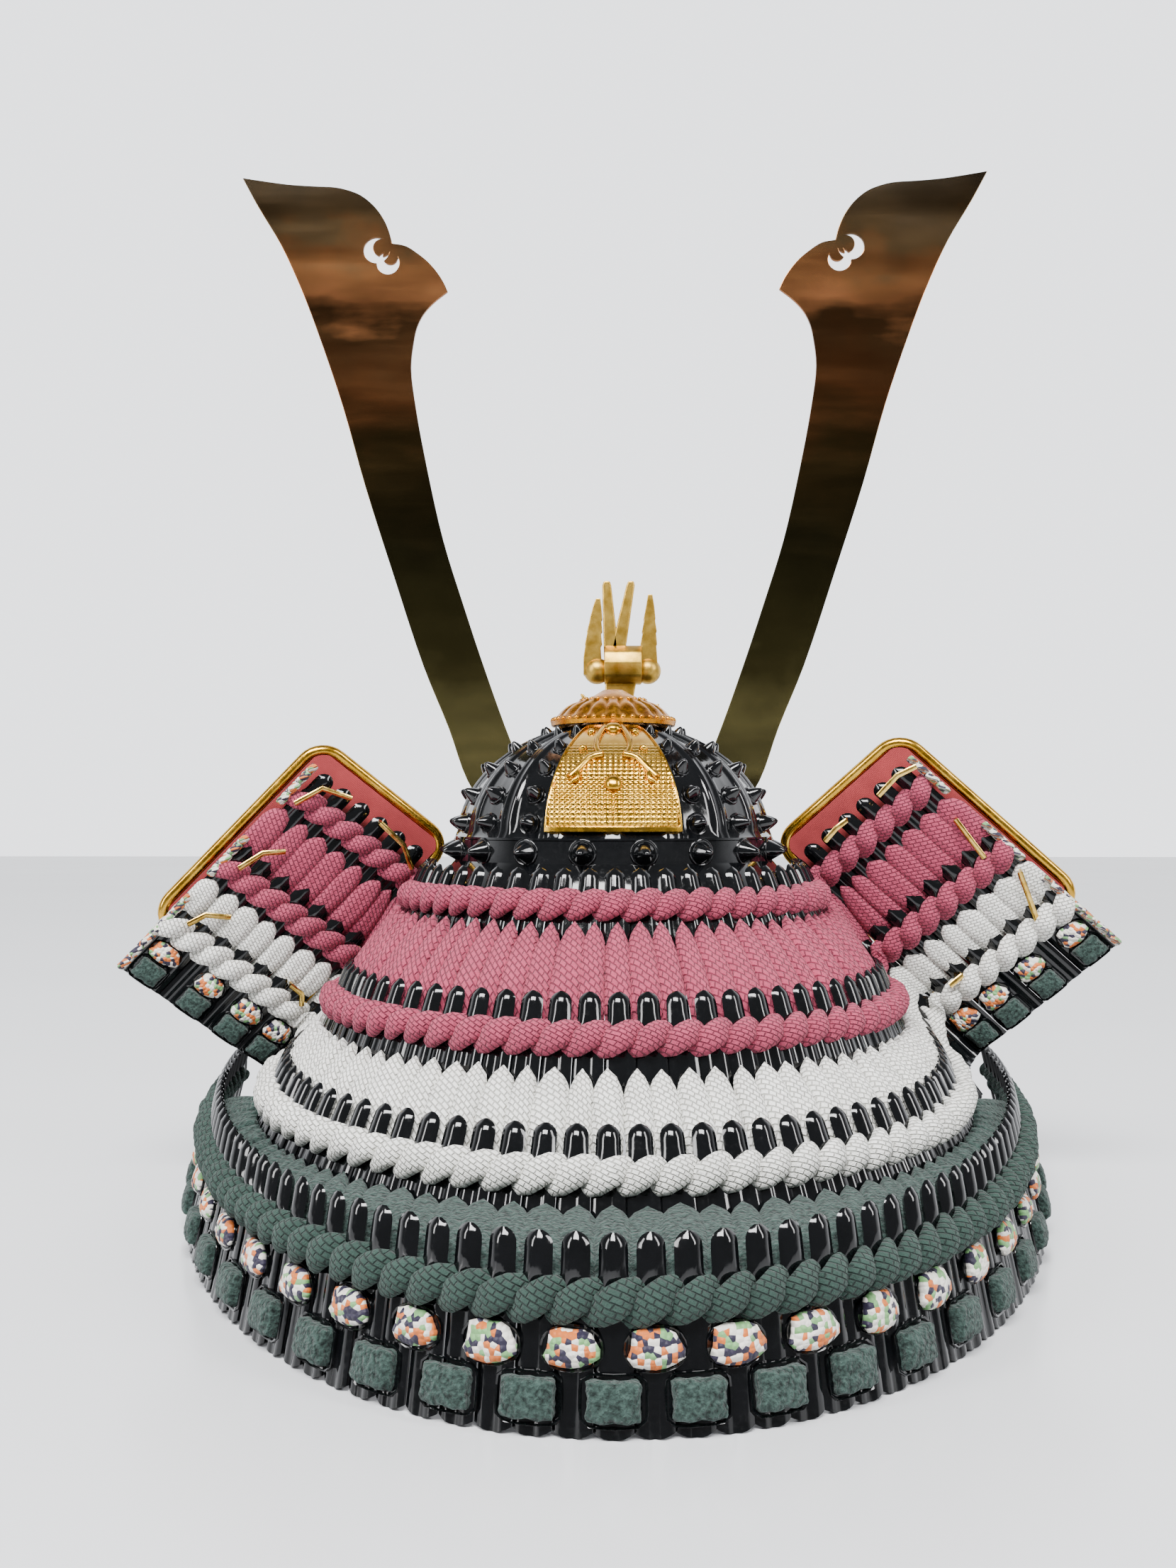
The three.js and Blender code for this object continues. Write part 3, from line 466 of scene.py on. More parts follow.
def cord_turn():
    """One turn of a strand: it climbs across the front of the rope and goes in behind at both ends."""
    deselect_all()
    bpy.ops.mesh.primitive_uv_sphere_add(segments=14, ring_count=13, radius=1)
    unit = bpy.context.object
    for vertex in unit.data.vertices:
        across, out, share = vertex.co
        turn = math.pi * share * strand_reach / pitch
        slope = math.atan(strand_wind * math.pi / pitch * math.cos(turn))
        round_end = max(1e-6, 1 - share * share) ** 0.5
        half = strand_half * (1 - abs(share) ** 3.2) ** 0.5 / round_end
        vertex.co = Vector((share * strand_reach - math.sin(slope) * across * half,
                            strand_wind * math.sin(turn) + math.cos(slope) * across * half,
                            (strand_wind * 1.5 * math.cos(turn) + out * half) * strand_flatness))
    return unit


def lay_flat(name, unit, surface, places):
    """Lays units on a surface without stretching them down it."""
    return lay(name, unit, surface, places, lambda along, down: down)


generator = random.Random(7)
for i, (cord, surface) in enumerate(zip(cord_table, lames)):
    fold_places = [np.interp(sign * fold_share, edge_shares, surface.at) for sign in (-1, 1)]
    places = []
    for at in scale_places(surface):
        near = min(abs(at - fold) for fold in fold_places) / pitch if i < 3 else 9
        pinch = min(1, 0.45 + 0.2 * near)
        places.append(dict(at=at, down=(cord["start"] + cord["end"]) / 2 * pitch, out=0.5 * MM * pinch,
                           wide=generator.uniform(0.95, 1.05), tall=generator.uniform(0.97, 1.06),
                           thick=pinch * generator.uniform(0.92, 1.08)))
    row = lay_flat(cord["name"] + "_turns", cord_turn(), surface, places)
    finish(row, *cord_finish[cord["cord"]], [cord["name"]])

# The upright lacing is the same braided cord, doubled into pointed loops that hang from under one plate
# and go in behind the heads of the next. Each loop lies a little over the one beside it.
lacing_table = [
    dict(name="pink_lacing", cord="pink", upper_end=1, lower_end=1, half=0.6, bulge=2.5, foot=1),
    dict(name="white_lacing", cord="white", upper_end=1, lower_end=1, half=0.6, bulge=2.5, foot=1),
    dict(name="green_lacing", cord="fuzzy_green", upper_end=0.6, lower_end=0.8, half=0.72, bulge=1.9,
         foot=1.05),
]
loop_start = -0.05 * pitch


def loop_shape_for(half, bulge):
    """A lancet arch: pointed at the top, plump in the middle, thin where its foot goes in behind."""
    def shape(u, v):
        opening = (1 - (1 - min(1, v / 0.42)) ** 2) ** 0.55
        wide = half * pitch * (0.1 + 0.9 * opening) * (1 - 0.16 * max(0, v - 0.5) / 0.5)
        plumpness = 0.45 + 0.55 * math.sin(math.pi * min(1, 0.1 + 0.8 * v))
        crown = bulge * MM * (1 - abs(u) ** 2.6) ** 0.6 * plumpness
        fold = 0.25 * MM * math.exp(-(u / 0.14) ** 2) * min(1, v * 3)
        return Vector((u * wide, -v, crown - fold - 1.6 * MM * max(0, v - 0.8) * 5))
    return shape


for i, lacing in enumerate(lacing_table):
    upper, lower = lames[i], lames[i + 1]
    at_upper = np.interp(edge_shares * lacing["upper_end"], edge_shares, upper.at)
    at_lower = np.interp(edge_shares * lacing["lower_end"], edge_shares, lower.at)
    tops = upper.point(at_upper, upper.plate(at_upper) - loop_start, np.full_like(at_upper, 0.2 * MM))
    foot_down = np.full_like(at_lower, lacing["foot"] * pitch)
    feet = lower.point(at_lower, foot_down, np.full_like(at_lower, -0.9 * MM))
    span = Surface(tops, feet, at_lower)
    places = []
    for at in scale_places(lower):
        if at_lower[0] < at < at_lower[-1]:
            places.append(dict(
                at=at + generator.uniform(-0.05, 0.05) * pitch, out=generator.uniform(-0.2, 0.3) * MM,
                wide=generator.uniform(0.84, 1.16), thick=generator.uniform(0.85, 1.15)))
    loop = grid_unit("loop", 10, 12, loop_shape_for(lacing["half"], lacing["bulge"]), 0.9 * MM)
    loops = lay(lacing["name"] + "_loops", loop, span, places,
                lambda along, down, span=span: down * span.plate(along), (1000, 16))
    finish(loops, *cord_finish[lacing["cord"]], [lacing["name"]])

# The many-coloured knots and the green blocks sit in moulded places on the lowest lame and on the flaps'
# lowest rows: hard little braids of dyed silk, and woollen cushions on a former, glued into a raised edge.
knot_table = [
    dict(name="guard", lame=3, first=-0.93, last=0.93, blocks=23, blocks_between=True, size=1,
         knot_down=0.57, block_down=0.815, stands_for=("guard_knots", "guard_blocks")),
    dict(name="flap_left", lame=2, first=-0.965, last=-0.745, blocks=4, blocks_between=False, size=0.86,
         knot_down=0.64, block_down=0.87, stands_for=("flap_knots_left", "flap_blocks_left")),
    dict(name="flap_right", lame=2, first=0.745, last=0.965, blocks=4, blocks_between=False, size=0.86,
         knot_down=0.64, block_down=0.87, stands_for=("flap_knots_right", "flap_blocks_right")),
]

# Braided silk in four dyed colours with a soft lustre. Its stitches, about 0.65 mm in the real braid, are
# too fine to show and are drawn as cells of about 1 mm.
silk, shader, place = new_material("many_coloured_silk_braid")
weave = add_node(silk, "ShaderNodeUVMap", uv_map="weave")
stitches = add_node(silk, "ShaderNodeTexVoronoi", [("Vector", weave), ("Scale", 0.95), ("Randomness", 0.75)],
                    voronoi_dimensions="2D")
picked = add_node(silk, "ShaderNodeSeparateColor", [("Color", stitches.outputs["Color"])])
dyes = add_node(silk, "ShaderNodeValToRGB", [("Fac", picked)], [
    (0, "#150b2b"), (0.26, "#dcd8ce"), (0.5, "#c4651f"), (0.72, "#6c9c62"), (0.88, "#dcd8ce")])
dyes.color_ramp.interpolation = "CONSTANT"
set_inputs(shader, [
    ("Base Color", dyes), ("Roughness", 0.6), ("Sheen Weight", 0.15),
    ("Normal", add_node(silk, "ShaderNodeBump", [("Height", stitches), ("Distance", -0.5 * MM)]))])


def knot_unit(half_wide, half_tall, depth):
    """A small lumpy knot of braid, as wide and tall as its place in the plate."""
    deselect_all()
    bpy.ops.mesh.primitive_uv_sphere_add(segments=16, ring_count=9, radius=1)
    unit = bpy.context.object
    for vertex in unit.data.vertices:
        x, y, z = vertex.co.x, vertex.co.y, vertex.co.z
        turn = math.atan2(y, x)
        lump = 1 + 0.07 * math.cos(3 * turn + 0.6) + 0.06 * math.cos(5 * turn + 1.1)
        square = (abs(math.cos(turn)) ** 3 + abs(math.sin(turn)) ** 3) ** (-1 / 3)
        vertex.co = Vector((x * half_wide * lump * square, y * half_tall * lump * square,
                            z * depth * (1 + 0.1 * math.sin(6 * x))))
    return unit


def block_unit(half_wide, half_tall, depth):
    """A woollen cushion: a box with rounded edges, crowned, its sides drawn in between the corners."""
    deselect_all()
    bpy.ops.mesh.primitive_cube_add(size=2)
    unit = bpy.context.object
    bpy.ops.object.mode_set(mode="EDIT")
    bpy.ops.mesh.subdivide(number_cuts=9)
    bpy.ops.object.mode_set(mode="OBJECT")
    for vertex in unit.data.vertices:
        x, y, z = vertex.co
        length = max(abs(x) ** 5 + abs(y) ** 5 + abs(z) ** 5, 1e-9) ** 0.2
        x, y, z = x / length, y / length, z / length
        tuft = 1 + 0.05 * math.sin(9 * x + 5 * y) * math.cos(8 * y - 3 * z)
        vertex.co = Vector((x * half_wide * (1 - 0.13 * (1 - y * y)) * tuft,
                            y * half_tall * (1 - 0.13 * (1 - x * x)) * tuft,
                            z * depth * (1 - 0.25 * (x * x + y * y) / 2) * tuft))
    return unit


def ring_unit(half_wide, half_tall, power, wire):
    """The moulded edge round a knot or a block: a fine raised line."""
    deselect_all()
    bpy.ops.mesh.primitive_torus_add(major_segments=20, minor_segments=5, major_radius=1, minor_radius=0.2)
    unit = bpy.context.object
    for vertex in unit.data.vertices:
        x, y, z = vertex.co
        reach = math.hypot(x, y)
        c, s = x / reach, y / reach
        size = (abs(c) ** power + abs(s) ** power) ** (-1 / power)
        grow = (reach - 1) / 0.2 * wire
        vertex.co = Vector((c * (half_wide * size + grow), s * (half_tall * size + grow),
                            z / 0.2 * wire * 1.6))
    return unit


edge_wire = 0.3 * MM
for row in knot_table:
    surface = lames[row["lame"]]
    count = row["blocks"] + (1 if row["blocks_between"] else 0)
    at = np.interp(np.linspace(row["first"], row["last"], count), edge_shares, surface.at)
    length = float(surface.plate(at[len(at) // 2]))
    knots = [dict(at=a, down=row["knot_down"] * length, out=1.2 * MM, tall=generator.uniform(0.9, 1.1),
                  wide=generator.uniform(0.9, 1.05)) for a in at]
    block_at = (at[:-1] + at[1:]) / 2 if row["blocks_between"] else at
    blocks = [dict(at=a, down=row["block_down"] * length, out=0.9 * MM) for a in block_at]
    unit_size = pitch * row["size"]
    wide, tall = 0.72 * unit_size, 0.5 * unit_size
    piece = lay_flat(row["name"] + "_silk_knots", knot_unit(wide, tall, 2 * MM), surface, knots)
    finish(piece, silk, "many_coloured_braid", [row["stands_for"][0]])
    piece = lay_flat(row["name"] + "_wool_blocks",
                     block_unit(0.74 * unit_size, 0.56 * unit_size, 2.6 * MM), surface, blocks)
    finish(piece, *cord_finish["fuzzy_green"], [row["stands_for"][1]])
    edges = lay_flat(row["name"] + "_knot_edges", ring_unit(wide * 1.1, tall * 1.12, 2.2, edge_wire),
                     surface, [dict(at=k["at"], down=k["down"], out=0.6 * MM) for k in knots])
    finish(edges, black_abs, "black_lacquer")
    edges = lay_flat(row["name"] + "_block_edges",
                     ring_unit(0.82 * unit_size, 0.63 * unit_size, 6, edge_wire),
                     surface, [dict(at=b["at"], down=b["down"], out=0.6 * MM) for b in blocks])
    finish(edges, black_abs, "black_lacquer")

# A braid of the same many-coloured silk binds the front ends of the lowest lame and the outer end of each
# flap's lames. It is stitched over and over, which gives it a wavy line.
braid_half = 1.5 * MM


def tube(name, points, radius, sides=8, is_loop=False, flat=1.0, up=None):
    """A smooth tube through points, with its weave running along it."""
    points = [np.array(p, float) for p in points]
    rings, weave, length = [], [], 0.0
    count = len(points)
    for i, point in enumerate(points):
        before = points[i - 1] if i or is_loop else points[0]
        after = points[(i + 1) % count] if i < count - 1 or is_loop else points[-1]
        run = unit_vector(after - before)
        reference = np.array(up if up is not None else (0, 0, 1), float)
        across = np.cross(run, reference)
        if np.linalg.norm(across) < 1e-3:
            across = np.cross(run, (1, 0, 0.1))
        across = unit_vector(across)
        rise = np.cross(across, run)
        length += np.linalg.norm(point - points[i - 1]) if i else 0
        for k in range(sides):
            angle = 2 * math.pi * k / sides
            rings.append(point + across * math.cos(angle) * radius + rise * math.sin(angle) * radius * flat)
            weave.append([k / sides * 2 * math.pi * radius / MM, length / MM])
    faces = []
    for i in range(count if is_loop else count - 1):
        for k in range(sides):
            a, b = i * sides + k, i * sides + (k + 1) % sides
            c, d = ((i + 1) % count) * sides + (k + 1) % sides, ((i + 1) % count) * sides + k
            faces.append((a, b, c, d))
    if not is_loop:
        faces.append(tuple(range(sides)))
        faces.append(tuple((count - 1) * sides + k for k in reversed(range(sides))))
    return new_piece(name, np.array(rings), faces, np.array(weave))


for name, sign in (("left", -1), ("right", 1)):
    for part, index in (("flap", 0), ("flap", 1), ("flap", 2), ("guard", 3)):
        surface = lames[index]
        place = np.full(1, surface.at[0 if sign < 0 else -1] - sign * 1 * MM)
        length = float(surface.plate(place)[0])
        downs = np.linspace(0.5 * MM, length - 0.5 * MM, 24)
        outs = 1.3 * MM + 0.6 * MM * np.sin(1.5 * downs / MM)
        line = list(surface.point(np.repeat(place, len(downs)), downs, outs))
        binding = tube(f"{part}_binding_{index + 1}_{name}", line, braid_half, 8, flat=0.8)
        finish(binding, silk, "many_coloured_braid", [f"{part}_braid_{name}"] if index > 1 else ())

# Thin bent brass clips hold the ends of the cord rows on the flaps. Each one's bends are given in
# millimetres along the row and down the flap.
clip_table = {
    "left": [[(43.8, 12.9), (41.1, 4.5), (32.5, 1.4)], [(42.5, 37.6), (40.5, 30.0), (35.9, 25.8)],
             [(41.9, 58.9), (40.1, 53.9), (34.2, 50.4)], [(21.3, 1.9), (11.4, 2.9), (4.2, 7.0)],
             [(7.4, 56.0), (3.2, 56.2), (0.5, 59.1)]],
    "right": [[(32.8, 2.7), (40.9, 1.9), (46.5, 3.6)], [(11.9, 2.4), (17.0, 1.7), (20.7, 2.0)],
              [(42.6, 22.8), (41.5, 28.2), (39.8, 36.8)], [(43.6, 46.3), (39.9, 53.5), (36.2, 60.7)],
              [(5.1, 58.7), (9.6, 59.0)]],
}
clip_stand = 4.6 * MM


def polished_metal(name, dark, light, wear, grit, glossiest, dullest):
    """Brass, bare or plated: its colour shifts slowly with wear, and handling dulls it in small patches."""
    material, shader, place = new_material(name)
    worn = add_node(material, "ShaderNodeTexNoise", [("Vector", place), ("Scale", 1 / wear), ("Detail", 3)])
    marks = add_node(material, "ShaderNodeTexNoise", [("Vector", place), ("Scale", 1 / grit), ("Detail", 3)])
    set_inputs(shader, [
        ("Base Color", add_node(material, "ShaderNodeValToRGB", [("Fac", worn)],
                                [(0.3, dark), (0.7, light)])),
        ("Roughness", add_node(material, "ShaderNodeValToRGB", [("Fac", marks)],
                               [(0.3, glossiest), (0.7, dullest)])),
        ("Metallic", 1.0)])
    return material


clip_brass = polished_metal("bent_brass_strip", "#c79a3e", "#efcd76", 2 * MM, 2 * MM, 0.14, 0.28)
for name, clips in clip_table.items():
    origin, row, stack, back = flap_frame(name)
    for i, bends in enumerate(clips):
        line = []
        for k, (along, down) in enumerate(bends):
            stand_off = clip_stand - (1.6 * MM if k == len(bends) - 1 else 0)
            line.append(origin + row * along * MM + stack * down * MM + back * stand_off)
        line = [line[0] - back * 3 * MM] + line + [line[-1] - back * 2 * MM]
        clip = tube(f"cord_clip_{name}_{i + 1}", line, 0.8 * MM, 8, flat=0.35, up=back)
        finish(clip, clip_brass, "gilt_plate")

# The bowl is moulded in one from the same glossy black ABS: a smooth dome with raised ribs, and between
# them columns of pointed studs, each on a round base. A thin lip runs round its foot.
bowl_radius = 45.5 * MM
bowl_rise = 33.6 * MM
bowl_foot = 103 * MM
crown_opening = 0.28
flutes = 18
rib_half_turn = 2.4
rib_rise = 0.9 * MM
flute_sink = 0.35 * MM
stud_rows = [0.1, 0.29, 0.48, 0.67, 0.86]
rear_half_turn = 23


def bowl_place(share, turn, out=0.0):
    """A point of the bowl: share of the way up, turn in degrees from the back, out from its surface."""
    angle = share * (math.pi / 2 - crown_opening)
    reach, height = bowl_radius * math.cos(angle), bowl_rise * math.sin(angle)
    normal = Vector((math.cos(angle) * bowl_rise, 0, math.sin(angle) * bowl_radius)).normalized()
    reach, height = reach + normal.x * out, height + normal.z * out
    turn = math.radians(turn)
    return axis + Vector((reach * math.sin(turn), reach * math.cos(turn), bowl_foot + height))


def bowl_normal(share, turn):
    return (bowl_place(share, turn, 1 * MM) - bowl_place(share, turn)).normalized()


def turned(name, profile, steps):
    """A body of revolution round the bowl's axis, spun from a closed profile of reach and height."""
    deselect_all()
    start = profile[0]
    bpy.ops.mesh.primitive_plane_add(size=1 * MM, location=axis + Vector((start[0], 0, start[1])))
    piece = bpy.context.object
    piece.name = name
    bpy.ops.object.mode_set(mode="EDIT")
    bpy.ops.mesh.merge(type="CENTER")
    bpy.ops.mesh.select_all(action="SELECT")
    for before, after in zip(profile, profile[1:] + profile[:1]):
        bpy.ops.mesh.extrude_vertices_move(
            TRANSFORM_OT_translate={"value": (after[0] - before[0], 0, after[1] - before[1])})
    bpy.ops.mesh.select_all(action="SELECT")
    bpy.ops.mesh.spin(steps=steps, angle=2 * math.pi, center=axis, axis=(0, 0, 1))
    bpy.ops.mesh.select_all(action="SELECT")
    bpy.ops.mesh.remove_doubles(threshold=1e-6)
    bpy.ops.mesh.normals_make_consistent(inside=False)
    bpy.ops.object.mode_set(mode="OBJECT")
    bpy.ops.object.transform_apply(location=True, rotation=True, scale=True)
    smooth(piece, 35)
    return piece


def turn_of(point):
    return math.degrees(math.atan2(point.x - axis.x, point.y - axis.y)) % 360


outside = [bowl_place(share, 90) - axis for share in np.linspace(0, 1, 20)]
inside = [bowl_place(share, 90, -2 * MM) - axis for share in np.linspace(1, 0, 12)]
lip = [(bowl_radius + 0.2 * MM, bowl_foot - 0.2 * MM), (bowl_radius + 1.4 * MM, bowl_foot - 0.1 * MM),
       (bowl_radius + 1.4 * MM, bowl_foot + 0.5 * MM)]
bowl_profile = lip + [(p.x, p.z) for p in outside[1:]] + [(p.x, p.z) for p in inside]
bowl = turned("bowl_dome", bowl_profile, 360)
for vertex in bowl.data.vertices:
    reach = math.hypot(vertex.co.x - axis.x, vertex.co.y - axis.y)
    height = vertex.co.z - bowl_foot
    on_outside = (reach / bowl_radius) ** 2 + (height / bowl_rise) ** 2 > 0.985 and height > 0.8 * MM
    if on_outside:
        from_rib = abs((turn_of(vertex.co) + 10) % 20 - 10)
        edge = max(0, 1 - abs(from_rib - rib_half_turn) / 1.1)
        on_rib = 1 if from_rib <= rib_half_turn else 0
        rise = on_rib * rib_rise * 0.5 + edge * rib_rise * 0.6
        rise -= (1 - on_rib) * flute_sink * math.sin(math.pi * (from_rib - rib_half_turn) / 13.2)
        centre = Vector((axis.x, axis.y, bowl_foot - 4 * MM))
        vertex.co += (vertex.co - centre).normalized() * rise


def stand(name, unit, places):
    """Copies a unit that stands on the XY plane to each place: a point, a direction and a size."""
    shape, faces = unit_arrays(unit)
    points, all_faces = [], []
    for i, (point, direction, size) in enumerate(places):
        turn = np.array(Vector(direction).to_track_quat("Z", "Y").to_matrix())
        points.append(shape @ turn.T * size + np.array(point))
        all_faces += [tuple(corner + len(shape) * i for corner in face) for face in faces]
    return new_piece(name, np.concatenate(points), all_faces)


def spun_unit(name, profile, steps):
    """A small turned unit on the Z axis, from a profile of radius and height in millimetres."""
    points, faces = [], []
    for radius, height in profile:
        for k in range(steps):
            angle = 2 * math.pi * k / steps
            points.append([radius * MM * math.cos(angle), radius * MM * math.sin(angle), height * MM])
    for ring in range(len(profile) - 1):
        for k in range(steps):
            a, b = ring * steps + k, ring * steps + (k + 1) % steps
            faces.append((a, b, b + steps, a + steps))
    faces.append(tuple(reversed(range(steps))))
    faces.append(tuple((len(profile) - 1) * steps + k for k in range(steps)))
    return new_piece(name, np.array(points), faces)


stud_profile = [(3.3, -0.9), (3.3, 0.4), (3.1, 0.6), (2.75, 0.55), (2.65, 0.5), (2.5, 0.9), (2.1, 1.8),
                (1.45, 3.0), (0.85, 3.9), (0.5, 4.25), (0.1, 4.4)]
stud_places = []
for flute in range(flutes):
    turn = (flute + 0.5) * 360 / flutes
    if min(turn, 360 - turn) > rear_half_turn + 4:
        for share in stud_rows:
            foot = bowl_place(share, turn, -0.3 * MM)
            stud_places.append((foot, bowl_normal(share, turn), 1 - 0.4 * share))
studs = stand("bowl_studs", spun_unit("stud", stud_profile, 14), stud_places)
finish(bowl, black_abs, "black_lacquer", ["bowl"], recalculated=False)
finish(studs, black_abs, "black_lacquer")

# The band under the bowl is a smooth ring moulded from the same ABS, with large pointed studs on raised
# discs. Its foot widens into the seat that carries the top lame.
band_radius = 47 * MM
band_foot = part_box("bowl_band")[0].z
seat_top = 90 * MM
seat_reach = 52.5 * MM
band_profile = [(band_radius, bowl_foot - 0.3 * MM), (band_radius, seat_top + 6.7 * MM),
                (seat_reach, seat_top), (seat_reach + 1.6 * MM, band_foot),
                (seat_reach - 0.8 * MM, band_foot), (band_radius - 2 * MM, seat_top),
                (band_radius - 2 * MM, bowl_foot - 0.3 * MM)]
band = turned("band_ring", band_profile, 96)
finish(band, black_abs, "black_lacquer", ["bowl_band"], recalculated=False)
big_stud = [(4.6, -1.0), (4.6, 0.5), (4.3, 0.8), (3.8, 0.8), (3.6, 0.7), (3.3, 1.4), (2.5, 3.0), (1.5, 4.8),
            (0.8, 5.9), (0.1, 6.3)]
band_places = []
for i in range(18):
    turn = math.radians((i + 0.5) * 20)
    direction = Vector((math.sin(turn), math.cos(turn), 0))
    band_places.append((axis + direction * (band_radius - 0.4 * MM) + Vector((0, 0, bowl_foot - 3.4 * MM)),
                        direction, 0.85))
finish(stand("band_studs", spun_unit("band_stud", big_stud, 18), band_places), black_abs, "black_lacquer")

# The rear plate is thin brass, stamped with a square grain inside a raised edge, with scrolled ribs, rivets
# and two bosses. It is plated bright gold and set over the bowl's ribs.
gilt = polished_metal("bright_gold_plate_on_brass", "#b78620", "#d9ab42", 5 * MM, 1.5 * MM, 0.16, 0.3)
plate_low_share, plate_high_share = 0.05, 0.93
plate_lift = 1.1 * MM
grain = 1.45 * MM
grain_rise = 0.42 * MM


def rear_shape(u, v):
    """The plate's face: a raised edge all round, and the grain, which fades out towards the top."""
    share = plate_high_share + (plate_low_share - plate_high_share) * v
    turn = -u * rear_half_turn
    place = bowl_place(share, turn)
    reach = math.hypot(place.x - axis.x, place.y - axis.y)
    across = math.radians(turn) * reach
    up = share * (math.pi / 2 - crown_opening) * bowl_radius * 0.85
    edge = min(1 - abs(u), v, 1 - v)
    if edge < 0.035:
        rise = 0.5 * MM
    else:
        fade = min(1, max(0, (0.66 - share) / 0.12 + 0.12))
        squares = abs(math.sin(math.pi * across / grain) * math.sin(math.pi * up / grain)) ** 0.6
        rise = grain_rise * fade * squares
    return bowl_place(share, turn, plate_lift + rise)


rear = grid_unit("rear_plate_grain", 160, 150, rear_shape, 0.8 * MM)
smooth(rear, 60)
finish(rear, gilt, "gilt_plate", ["rear_plate"])
for name, side in (("left", 1), ("right", -1)):
    rib = [bowl_place(share, side * turn, plate_lift + 0.5 * MM) for share, turn in
           [(0.93, 6.0), (0.85, 7.0), (0.77, 8.2), (0.69, 8.8), (0.61, 8.0), (0.57, 6.6), (0.555, 5.2)]]
    finish(tube(f"rear_rib_{name}", rib, 0.85 * MM, 8), gilt, "gilt_plate")
    scroll = [bowl_place(share, side * turn, plate_lift + 0.5 * MM) for share, turn in
              [(0.55, 4.8), (0.54, 8.0), (0.52, 10.5), (0.47, 12.5), (0.42, 14.5), (0.385, 16.2)]]
    finish(tube(f"rear_scroll_{name}", scroll, 1.1 * MM, 8), gilt, "gilt_plate")
    curl = [bowl_place(0.385 + 0.03 * math.sin(a), side * (15 + 1.8 * math.cos(a)), plate_lift + 0.6 * MM)
            for a in np.linspace(0, 4.6, 12)]
    finish(tube(f"rear_curl_{name}", curl, 0.8 * MM, 8), gilt, "gilt_plate")
rivet_profile = [(1.2, -0.4), (1.2, 0.3), (1.0, 0.8), (0.6, 1.1), (0.1, 1.2)]
rivet_places = [(bowl_place(share, turn, plate_lift), bowl_normal(share, turn), 1)
                for share, turn in [(0.8, 15), (0.8, -15), (0.62, 15), (0.62, -15)]]
finish(stand("rear_rivets", spun_unit("rivet", rivet_profile, 12), rivet_places), gilt, "gilt_plate")
boss_profile = [(2.6, -0.5), (2.6, 0.4), (2.3, 1.1), (1.6, 1.6), (0.8, 1.8), (0.1, 1.85)]
boss_places = [(bowl_place(0.85, 0, plate_lift), bowl_normal(0.85, 0), 1),
               (bowl_place(0.34, 0, plate_lift), bowl_normal(0.34, 0), 0.95)]
finish(stand("rear_bosses", spun_unit("boss", boss_profile, 20), boss_places), gilt, "gilt_plate")

# The crown ornament is stamped brass in tiers of petals with a beaded edge, plated in a warmer, more orange
# gold, and fitted over the opening at the top of the bowl.
orange_gilt = polished_metal("warm_gold_plate_on_brass", "#a8660f", "#d08f26", 4 * MM, 1.2 * MM, 0.2, 0.36)
crown_radius = (crown_high.x - crown_low.x) / 2
crown_foot = crown_low.z + 1.2 * MM
crown_rise = crown_high.z - crown_foot
crown_shape = [(0.03, 1), (0.16, 0.98), (0.3, 0.82), (0.4, 0.74), (0.46, 0.64), (0.52, 0.66), (0.58, 0.56),
               (0.66, 0.5), (0.74, 0.42), (0.82, 0.3), (0.9, 0.15), (0.95, 0.1), (0.985, 0.02), (0.97, -0.1),
               (0.86, -0.06), (0.5, 0.2), (0.03, 0.3)]
crown = turned("crown_petals", [(r * crown_radius, crown_foot + h * crown_rise) for r, h in crown_shape], 120)
petals = 20
for vertex in crown.data.vertices:
    reach = math.hypot(vertex.co.x - axis.x, vertex.co.y - axis.y) / crown_radius
    turn = math.radians(turn_of(vertex.co))
    share = (vertex.co.z - crown_foot) / crown_rise
    if 0.44 < reach < 0.97 and share > 0.55 - 0.62 * (reach - 0.44) / 0.5 - 0.12:
        petal = abs(math.cos(petals * turn / 2)) ** 0.5 - 0.5
        vertex.co.z += 1.3 * MM * petal * math.sin(math.pi * (reach - 0.44) / 0.53)


def bead_ring(count, reach, height, size):
    """The places of a ring of beads, as shares of the ornament's radius and rise."""
    return [(axis + Vector((math.sin(a), math.cos(a), 0)) * crown_radius * reach
             + Vector((0, 0, crown_foot + height * crown_rise)), (0, 0, 1), size)
            for a in np.linspace(0, 2 * math.pi, count, endpoint=False)]


bead_profile = [(0.1, -0.9), (0.7, -0.6), (0.95, 0), (0.8, 0.5), (0.45, 0.85), (0.1, 0.95)]
finish(crown, orange_gilt, "orange_gilt", ["crown_ornament"], recalculated=False)
beads = stand("crown_beads", spun_unit("bead", bead_profile, 10), bead_ring(40, 0.94, 0.06, 1))
finish(beads, orange_gilt, "orange_gilt")
beads = stand("crown_tier_beads", spun_unit("bead", bead_profile, 8), bead_ring(26, 0.5, 0.66, 0.75))
finish(beads, orange_gilt, "orange_gilt")

